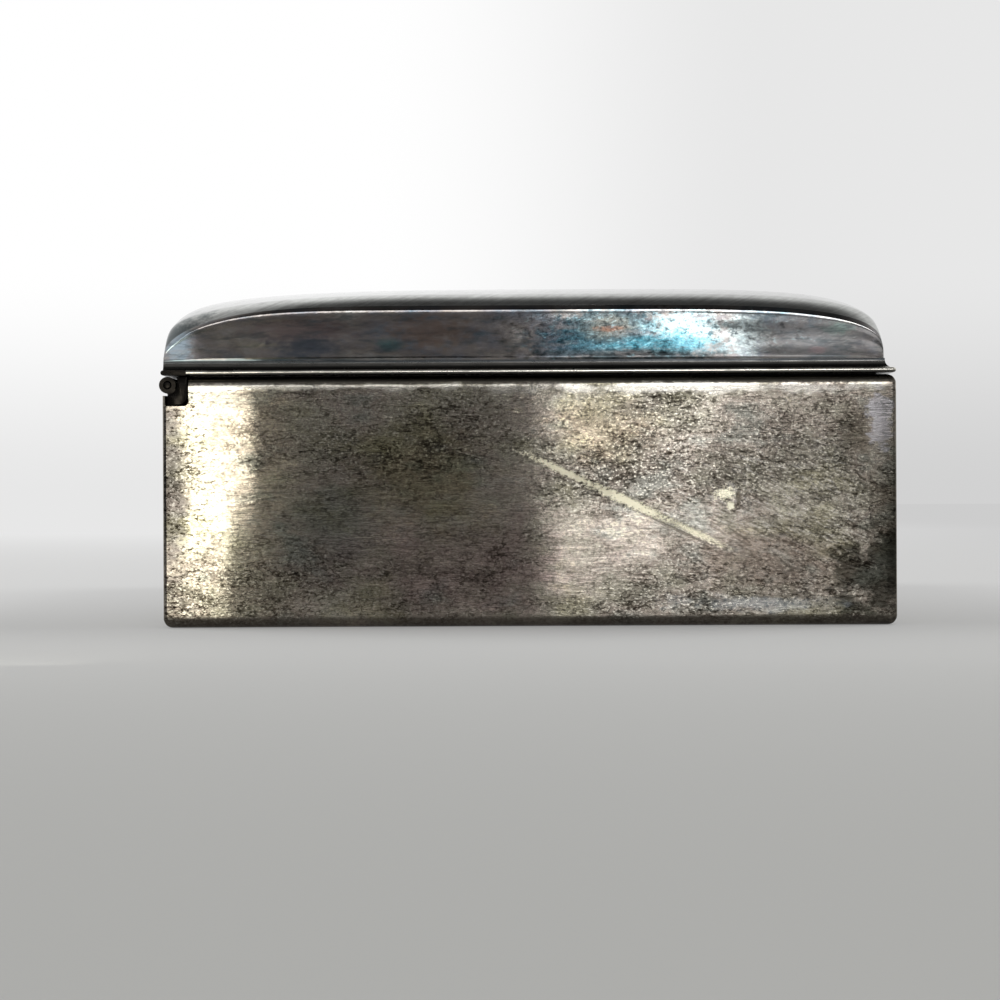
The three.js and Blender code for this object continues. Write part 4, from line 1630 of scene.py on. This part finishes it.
@dataclass
class CushionLid:
    """The lid: a cushioned top sheet, two flat end panels and the moulding round their foot.

    Args:
        sizes: Sizes read from the frame.
        riser: Height of the upright foot of the top sheet.
        end_rise: Rise of the end panels' arch.
        swell: How much higher the full section rises.
        roll: Distance from an end over which the top rises to its full section.
        shoulder: Distance over which the quick first part of that rise ends.
        shoulder_share: Share of the rise in that first part.
        crown: Slight rise of the top towards its middle.
        crease_round: Round of the edge between an end panel and the top.
        crease_fold: Fold of that edge, in degrees, at least.
        crease_band: Distance from an end panel's face within which that edge lies.
        across_steps: Faces across the section.
        across_ease: How much closer they stand towards the middle.
        roll_steps: Faces along the roll.
        roll_ease: How much closer they stand towards the end.
        middle_steps: Faces along the rest of the top.
        rise_steps: Faces up an end panel.
        top_waves: Waviness of the top sheet.
        top_fade: Steepness with which it fades out towards the feet.
        panel_fade: Steepness with which an end panel's waviness fades out towards its edges.
        panel_up: What a share of its height counts in that, against a share of its width.
        flange: Thickness of the moulding's flange.
        land: Flat on top of the flange, in front of the cove.
        bead: Height of the step over the cove.
        bead_inset: Distance of the step from the end panel.
        cove_steps: Faces round the cove.
        end_front: Front quarter of the end panels' arch.
        end_rear: Rear quarter of the end panels' arch.
        full_front: Front quarter of the full section.
        full_rear: Rear quarter of the full section.
    """

    sizes: Measures
    riser: float = 0.6
    end_rise: float = 9.3
    swell: float = 7.0
    roll: float = 40.0
    shoulder: float = 6.0
    shoulder_share: float = 0.35
    crown: float = 1.5
    crease_round: float = 0.16
    crease_fold: float = 25.0
    crease_band: float = 0.2
    across_steps: int = 110
    across_ease: float = 1.6
    roll_steps: int = 44
    roll_ease: float = 1.5
    middle_steps: int = 30
    rise_steps: int = 12
    top_waves: Waviness = Waviness(depth=0.05, size=34, seed=9.1)
    top_fade: float = 3.0
    panel_fade: float = 5.0
    panel_up: float = 0.8
    flange: float = 1.0
    land: float = 0.6
    bead: float = 0.3
    bead_inset: float = 0.2
    cove_steps: int = 12
    end_front: Quarter = Quarter(4.5, 3.0)
    end_rear: Quarter = Quarter(6.9, 1.5)
    full_front: Quarter = Quarter(4.4, 6.3)
    full_rear: Quarter = Quarter(2.5, 8.6)

    def _arch(self, front: Quarter, rear: Quarter, rise: float, swing: float) -> tuple[float, float]:
        """Works out a point of a section.

        Args:
            front: Shape of the front quarter.
            rear: Shape of the rear quarter.
            rise: Height of the crown.
            swing: From minus to plus half pi, front foot to rear foot.

        Returns:
            Its depth and height.
        """
        quarter = front if swing < 0 else rear
        reach = self.sizes.lid_front if swing < 0 else self.sizes.lid_rear
        turn = abs(swing)
        depth = math.copysign(reach * math.sin(turn) ** (2 / quarter.along), swing)
        return depth, rise * max(math.cos(turn), 0.0) ** (2 / quarter.up)

    def _roll_share(self, distance: float) -> float:
        """Works out the rise to the full section: a quick shoulder, then a slow rise.

        Args:
            distance: Distance from the face of the nearer end panel.

        Returns:
            The share of the rise, from 0 to 1.
        """
        quick = 1 - min(distance / self.shoulder, 1)
        slow = 1 - min(distance / self.roll, 1)
        return self.shoulder_share * (1 - quick**2) + (1 - self.shoulder_share) * (1 - slow**2)

    def point(self, distance: float, swing: float) -> tuple[float, float]:
        """Works out a point of the lid's surface.

        Args:
            distance: Distance from the face of the nearer end panel.
            swing: From minus to plus half pi, front foot to rear foot.

        Returns:
            Its depth and height.
        """
        end_y, end_z = self._arch(self.end_front, self.end_rear, self.end_rise, swing)
        full_y, full_z = self._arch(self.full_front, self.full_rear, self.end_rise + self.swell, swing)
        blend = self._roll_share(distance)
        depth = end_y + (full_y - end_y) * blend
        middle = max(distance - self.roll, 0) / (self.sizes.lid_half_length - self.roll)
        crown = self.crown * (1 - (1 - middle) ** 2) * (1 - (depth / self.sizes.half_depth) ** 2)
        return depth, self.sizes.lid_foot + self.riser + end_z + (full_z - end_z) * blend + crown

    def _swing(self, share: float) -> float:
        """Returns the swing for a share from -1 at the front foot to 1 at the rear foot."""
        return math.copysign(abs(share) ** self.across_ease, share) * math.pi / 2

    def _rows(self) -> list[float]:
        """Returns the places along X of the top sheet's rows, from its left edge to its right."""
        start = SHEET + SEAM
        half = self.sizes.lid_half_length
        rolled = [
            start + (self.roll - start) * (step / self.roll_steps) ** self.roll_ease
            for step in range(self.roll_steps + 1)
        ]
        flat = spread(self.roll, 2 * half - self.roll, (2 * half - 2 * self.roll) / self.middle_steps)
        left = [distance - half for distance in rolled]
        return left + [distance - half for distance in flat] + [-place for place in reversed(left)]

    def top_sheet(self) -> Mesh:
        """Returns the cushioned top, raised from a flat grid and given its thickness."""
        rows = self._rows()
        columns = self.across_steps + 2
        mesh = bmesh.new()
        bmesh.ops.create_grid(mesh, x_segments=len(rows) - 1, y_segments=columns, size=0.5)
        for vert in mesh.verts:
            along = rows[round((vert.co.x + 0.5) * (len(rows) - 1))]
            column = round((vert.co.y + 0.5) * columns)
            share = 2 * min(max(column - 1, 0), self.across_steps) / self.across_steps - 1
            depth, height = self.point(self.sizes.lid_half_length - abs(along), self._swing(share))
            if column in (0, columns):
                height = self.sizes.lid_foot
            else:
                height -= self.top_waves.at(along, depth) * ease((1 - abs(share)) * self.top_fade)
            vert.co = (along, depth, height)
        bmesh.ops.solidify(mesh, geom=mesh.faces[:], thickness=SHEET)
        for vert in mesh.verts:
            vert.co.z = max(vert.co.z, self.sizes.lid_foot)
        return mesh

    def end_panel(self, end: int) -> Mesh:
        """Makes a flat end panel, its arched edge sloped to meet the top sheet.

        Args:
            end: -1 for the left panel, 1 for the right one.

        Returns:
            The mesh.
        """
        mesh = bmesh.new()
        bmesh.ops.create_grid(mesh, x_segments=self.across_steps, y_segments=self.rise_steps, size=0.5)
        waviness = Waviness(depth=0.05, size=16, seed=3.3 * end)
        front = set(mesh.verts)
        bmesh.ops.extrude_face_region(mesh, geom=mesh.faces[:], use_keep_orig=True)
        foot = self.sizes.lid_foot
        for vert in mesh.verts:
            inset = 0 if vert in front else SHEET
            share = 2 * vert.co.x
            up = vert.co.y + 0.5
            depth, height = self.point(inset, self._swing(share))
            edge = min(1 - abs(share), min(up, 1 - up) * self.panel_up)
            inset += waviness.at(depth, height * up) * ease(edge * self.panel_fade)
            vert.co = (end * (self.sizes.lid_half_length - inset), depth, foot + (height - foot) * up)
        bmesh.ops.recalc_face_normals(mesh, faces=mesh.faces[:])
        outer = self.sizes.lid_half_length - self.crease_band
        crease = [
            edge for edge in sharp_edges(mesh, self.crease_fold)
            if all(abs(vert.co.x) > outer for vert in edge.verts)
        ]
        round_edges(mesh, crease, self.crease_round, 3)
        return mesh

    def _moulding_section(self, mesh: Mesh, start: float) -> list[Face]:
        """Draws the moulding: half-round flange, cove and a small step.

        Args:
            mesh: Mesh to draw in.
            start: Place of the section along X.

        Returns:
            The faces of the section.
        """
        nose = self.flange / 2
        bottom = self.sizes.flange
        top = self.sizes.lid_foot
        crest = top - self.bead
        hollow = crest - bottom - self.flange
        back = self.sizes.half_length - node_box("lid_right_end")[0].x
        run = back - SHEET - self.bead_inset - self.land
        pen = SectionPen(mesh, start, (back, bottom))
        pen.line(nose, bottom).arc((nose, bottom + nose), -180).line(self.land, bottom + self.flange)
        for step in range(1, self.cove_steps + 1):
            turn = math.pi / 2 * step / self.cove_steps
            pen.line(self.land + run * math.sin(turn), crest - hollow * math.cos(turn))
        pen.line(self.land + run, top).line(back, top)
        return pen.face()

    def moulding(self, side: Side) -> Mesh:
        """Makes the moulding of the front or of an end.

        Args:
            side: Side of the lid.

        Returns:
            The mesh.
        """
        half_run = side.half_run(self.sizes)
        mesh = bmesh.new()
        draw_out(mesh, self._moulding_section(mesh, -half_run - 1), (2 * half_run + 2, 0, 0))
        cut_corner_stations(mesh, half_run)
        saw_ends(mesh, half_run, side.rear_end(), half_run)
        file_corners(mesh, half_run, side.rear_end())
        mesh.transform(side_matrix(side, self.sizes))
        if side.rear_end():
            bearer = node_box("lid_hinge_bearer")[0]
            notch(mesh, (BACK * (bearer.y - SEAM), BACK), (UP * (bearer.z + SHEET + SEAM), -UP))
        return mesh

    def build(self) -> None:
        """Builds and dresses the lid."""
        top = Identity("silver_lid_top", "lid_top_sheet", "lid", "lid_silver")
        finish_piece(self.top_sheet(), top, CUSHION_SILVER)
        for end, name in ((-1, "left"), (1, "right")):
            panel = Identity(f"silver_lid_{name}_end", f"lid_{name}_end", "lid", "lid_silver")
            finish = LEFT_LID_SILVER if end == -1 else LID_SILVER
            finish_piece(self.end_panel(end), panel, finish, BACK)
        for side in (Side.FRONT, Side.LEFT, Side.RIGHT):
            node = f"lid_{side.name.lower()}_moulding"
            identity = Identity(f"silver_{node}", node, "lid", "lid_silver")
            finish_piece(self.moulding(side), identity, MOULDING_SILVER, side.brush())


# The studio


@dataclass(frozen=True)
class Lamp:
    """A soft flat lamp.

    Args:
        name: Name of the lamp.
        centre: Its place in millimetres.
        size: Its width and height.
        brightness: Brightness of its face, 1 for white.
        turn: Turn in its own plane, in degrees.
        oval: True for an oval outline, False for a rectangle.
        colour: Colour of its light.
    """

    name: str
    centre: tuple[float, float, float]
    size: tuple[float, float]
    brightness: float
    turn: float = 0.0
    oval: bool = False
    colour: str = "#ffffff"

    def hang(self, square: bool = False) -> bpy.types.Object:
        """Adds the lamp to the scene.

        Args:
            square: True to hang it square to the left end, False to face the box.

        Returns:
            The lamp.
        """
        data = bpy.data.lights.new(self.name, "AREA")
        data.shape = "ELLIPSE" if self.oval else "RECTANGLE"
        data.size, data.size_y = (side * MM for side in self.size)
        area = data.size * data.size_y * (math.pi / 4 if self.oval else 1)
        data.energy = self.brightness * math.pi * area
        data.color = linear(self.colour)[:3]
        lamp = add_object(self.name, data)
        centre = Vector(self.centre)
        facing = centre.to_track_quat("Z", "Y").to_matrix().to_4x4()
        if square:
            facing = Matrix.Rotation(-math.pi / 2, 4, "Y") @ Matrix.Rotation(-math.pi / 2, 4, "Z")
        turned = Matrix.Rotation(math.radians(self.turn), 4, "Z")
        lamp.matrix_world = Matrix.Translation(centre * MM) @ facing @ turned
        return lamp


@dataclass
class Studio:
    """Pale floor and soft lamps, with a dark card behind the camera that gives the metal its depth.

    Args:
        sizes: Sizes read from the frame.
        camera_distance: Distance of the camera from the left end.
        aim: Depth and height at which the camera looks.
        lens: Focal length of the camera.
        roll: Slight turn of the camera in its own plane, in degrees.
        backdrop: Brightness of the room at eye level.
        horizon: Brightness of the room where it meets the floor.
        panel_distance: Distance of the near panels from the left end.
        lamp_distance: Distance of the far lamps from the left end.
        card_distance: Distance of the dark card from the left end.
    """

    sizes: Measures
    camera_distance: float = 450.0
    aim: tuple[float, float] = (5.9, 25.0)
    lens: float = 82.1
    roll: float = -0.28
    backdrop: float = 1.0
    horizon: float = 0.8
    panel_distance: float = 100.0
    lamp_distance: float = 900.0
    card_distance: float = 1000.0

    def camera(self) -> None:
        """Places the camera square to the left end, as the photograph was taken."""
        data = bpy.data.cameras.new("camera")
        data.lens = self.lens
        data.sensor_width = 36.0
        camera = add_object("camera", data)
        place = Vector((-self.sizes.half_length - self.camera_distance, *self.aim)) * MM
        level = Matrix.Rotation(-math.pi / 2, 4, "Z") @ Matrix.Rotation(math.pi / 2, 4, "X")
        rolled = Matrix.Rotation(math.radians(self.roll), 4, "Z")
        camera.matrix_world = Matrix.Translation(place) @ level @ rolled
        bpy.context.scene.camera = camera

    def lamps(self) -> None:
        """Adds the panels and lamps that the left end mirrors, and the softboxes at the sides."""
        near = -self.sizes.half_length - self.panel_distance
        far = -self.sizes.half_length - self.lamp_distance
        cream = "#fffced"
        panels = (
            Lamp("band_panel", (near, 83, 28), (26, 56), 5.2, turn=-4, colour=cream),
            Lamp("bulge_panel", (near, 77, 38), (24, 34), 5.2, oval=True, colour=cream),
            Lamp("low_panel", (near, -49, 10.5), (82, 21), 0.56),
            Lamp("slanted_panel", (near, -44.5, 64.8), (9.0, 30), 2.4, turn=55),
            Lamp("corner_panel", (near, 88, 62), (16, 18), 0.9, oval=True),
        )
        lamps = (
            Lamp("halo_lamp", (far, 156, 48), (60, 100), 0.5, oval=True, colour="#f4efc8"),
            Lamp("broad_lamp", (far, -70, 62), (100, 90), 3.2),
            Lamp("side_lamp", (far, -165, 60), (94, 100), 1.2),
            Lamp("slanted_lamp", (far, -80, 122), (100, 36), 1.0, turn=-35),
            Lamp("upper_lamp", (far, -185, 125), (80, 50), 0.25),
            Lamp("long_lamp", (far, 0, 250), (700, 60), 3.4),
            Lamp("high_lamp", (far, -170, 300), (260, 200), 4.0),
        )
        for panel in panels:
            hung = panel.hang(square=True)
            hung.visible_camera = False
            hung.visible_diffuse = False
        for lamp in lamps:
            lamp.hang()
        for side in (-1, 1):
            Lamp("softbox", (400, side * 1300, 1100), (1200, 1200), 2.4).hang().visible_glossy = False

    @staticmethod
    def seen_rays(nodes: Nodes) -> Socket:
        """Picks the rays that see the white background: camera, glossy and transmission rays.

        Args:
            nodes: Nodes of the material or of the room.

        Returns:
            1 for these rays, 0 for others.
        """
        seen = 0.0
        for ray in ("Is Camera Ray", "Is Glossy Ray", "Is Transmission Ray"):
            path = nodes.add("LightPath", output=ray)
            seen = nodes.add("Math", (seen, path), {"operation": "MAXIMUM"})
        return seen

    def floor(self) -> None:
        """Lays the pale floor, which fades into the backdrop's white behind the box. Its colour is painted
        darker towards the camera: painted light.

        Places and distances in its material are in metres.
        """
        mesh = bmesh.new()
        bmesh.ops.create_circle(mesh, cap_ends=True, segments=96, radius=9000)
        material, nodes, shader = new_material("pale_floor")
        place = nodes.add("TexCoord", output="Object")
        behind = nodes.add("SeparateXYZ", (place,), output="X")
        aside = nodes.add("SeparateXYZ", (place,), output="Y")
        # Painted light: the floor's colour grows lighter from in front of the box towards it.
        painted_floor_light = nodes.add("MapRange", (behind, -0.46, -0.15, 0.0, 1.0), EASED)
        fill(shader.inputs["Base Color"], nodes.layered("#c8c8c5", [(painted_floor_light, "#dcdcda", PAINTED)]))
        fill(shader.inputs["Roughness"], 0.9)
        fill(shader.inputs["Specular IOR Level"], 0.1)
        near = nodes.add("MapRange", (behind, -0.3, 0.1, 0.0, 0.5), EASED)
        far = nodes.add("MapRange", (behind, 0.1, 1.3, 0.0, 0.5), EASED)
        both = nodes.add("Math", (near, far), {"operation": "ADD"})
        share = nodes.add("Math", (both, self.seen_rays(nodes)), TIMES)
        dim_side = 0.76 * self.horizon
        level = nodes.add("MapRange", (aside, -0.5, 0.2, dim_side, self.horizon), EASED)
        white = nodes.add("Emission", ("#ffffff", level))
        mixed = nodes.add("MixShader", (share, shader.outputs["BSDF"], white))
        fill(nodes.tree.nodes["Material Output"].inputs["Surface"], mixed)
        to_metres(mesh)
        to_object(mesh, "floor", material)

    def card(self) -> None:
        """Stands a dark card behind the camera, which only the metal sees, brighter towards its top."""
        mesh = bmesh.new()
        centre = Matrix.Translation((-self.sizes.half_length - self.card_distance, -20, 330))
        upright = Matrix.Rotation(math.pi / 2, 4, "Y") @ Matrix.Diagonal((660, 1000, 1, 1))
        bmesh.ops.create_grid(mesh, x_segments=1, y_segments=1, size=0.5, matrix=centre @ upright)
        material, nodes, shader = new_material("dark_card")
        place = nodes.add("TexCoord", output="Object")
        height = nodes.add("SeparateXYZ", (place,), output="Z")
        fill(shader.inputs["Base Color"], "#1d1d1f")
        fill(shader.inputs["Roughness"], 1.0)
        fill(shader.inputs["Emission Color"], "#ffffff")
        glow = nodes.add("MapRange", (height, 0.07, 0.14, 0.02, 0.27), EASED)
        fill(shader.inputs["Emission Strength"], glow)
        to_metres(mesh)
        card = to_object(mesh, "card", material)
        card.visible_camera = False

    def world(self) -> None:
        """Makes the room: white low down, dim overhead, for the camera and for reflections."""
        world = bpy.data.worlds.new("room")
        world.use_nodes = True
        nodes = Nodes(world.node_tree)
        way = nodes.add("TexCoord", output="Generated")
        fades = (
            ("Z", (0.0, 0.1, self.horizon, self.backdrop)),
            ("Z", (0.66, 0.965, 1.0, 0.08)),
            ("Y", (-0.12, 0.06, 0.8, 1.0)),
            ("X", (-0.3, 0.2, 0.45, 1.0)),
        )
        seen = 1.0
        for axis, fade in fades:
            part = nodes.add("SeparateXYZ", (way,), output=axis)
            seen = nodes.add("Math", (seen, nodes.add("MapRange", (part, *fade), EASED)), TIMES)
        unseen = 0.3
        mixed = (self.seen_rays(nodes), unseen, seen)
        background = world.node_tree.nodes["Background"]
        fill(background.inputs["Color"], "#ffffff")
        fill(background.inputs["Strength"], nodes.add("Mix", mixed, {"data_type": "FLOAT"}))
        bpy.context.scene.world = world

    def build(self) -> None:
        """Sets up the whole studio."""
        self.camera()
        self.lamps()
        self.floor()
        self.card()
        self.world()
        bpy.context.scene.view_settings.view_transform = "Standard"


def main() -> None:
    """Builds the box and the studio from the sizes read off the frame."""
    logging.basicConfig(level=logging.INFO, format="%(name)s: %(message)s")
    sizes = Measures.from_frame()
    BodyCase(sizes).build()
    PinHinge(sizes).build()
    CedarLining(sizes).build()
    CushionLid(sizes).build()
    Studio(sizes).build()


if __name__ == "__main__":
    main()
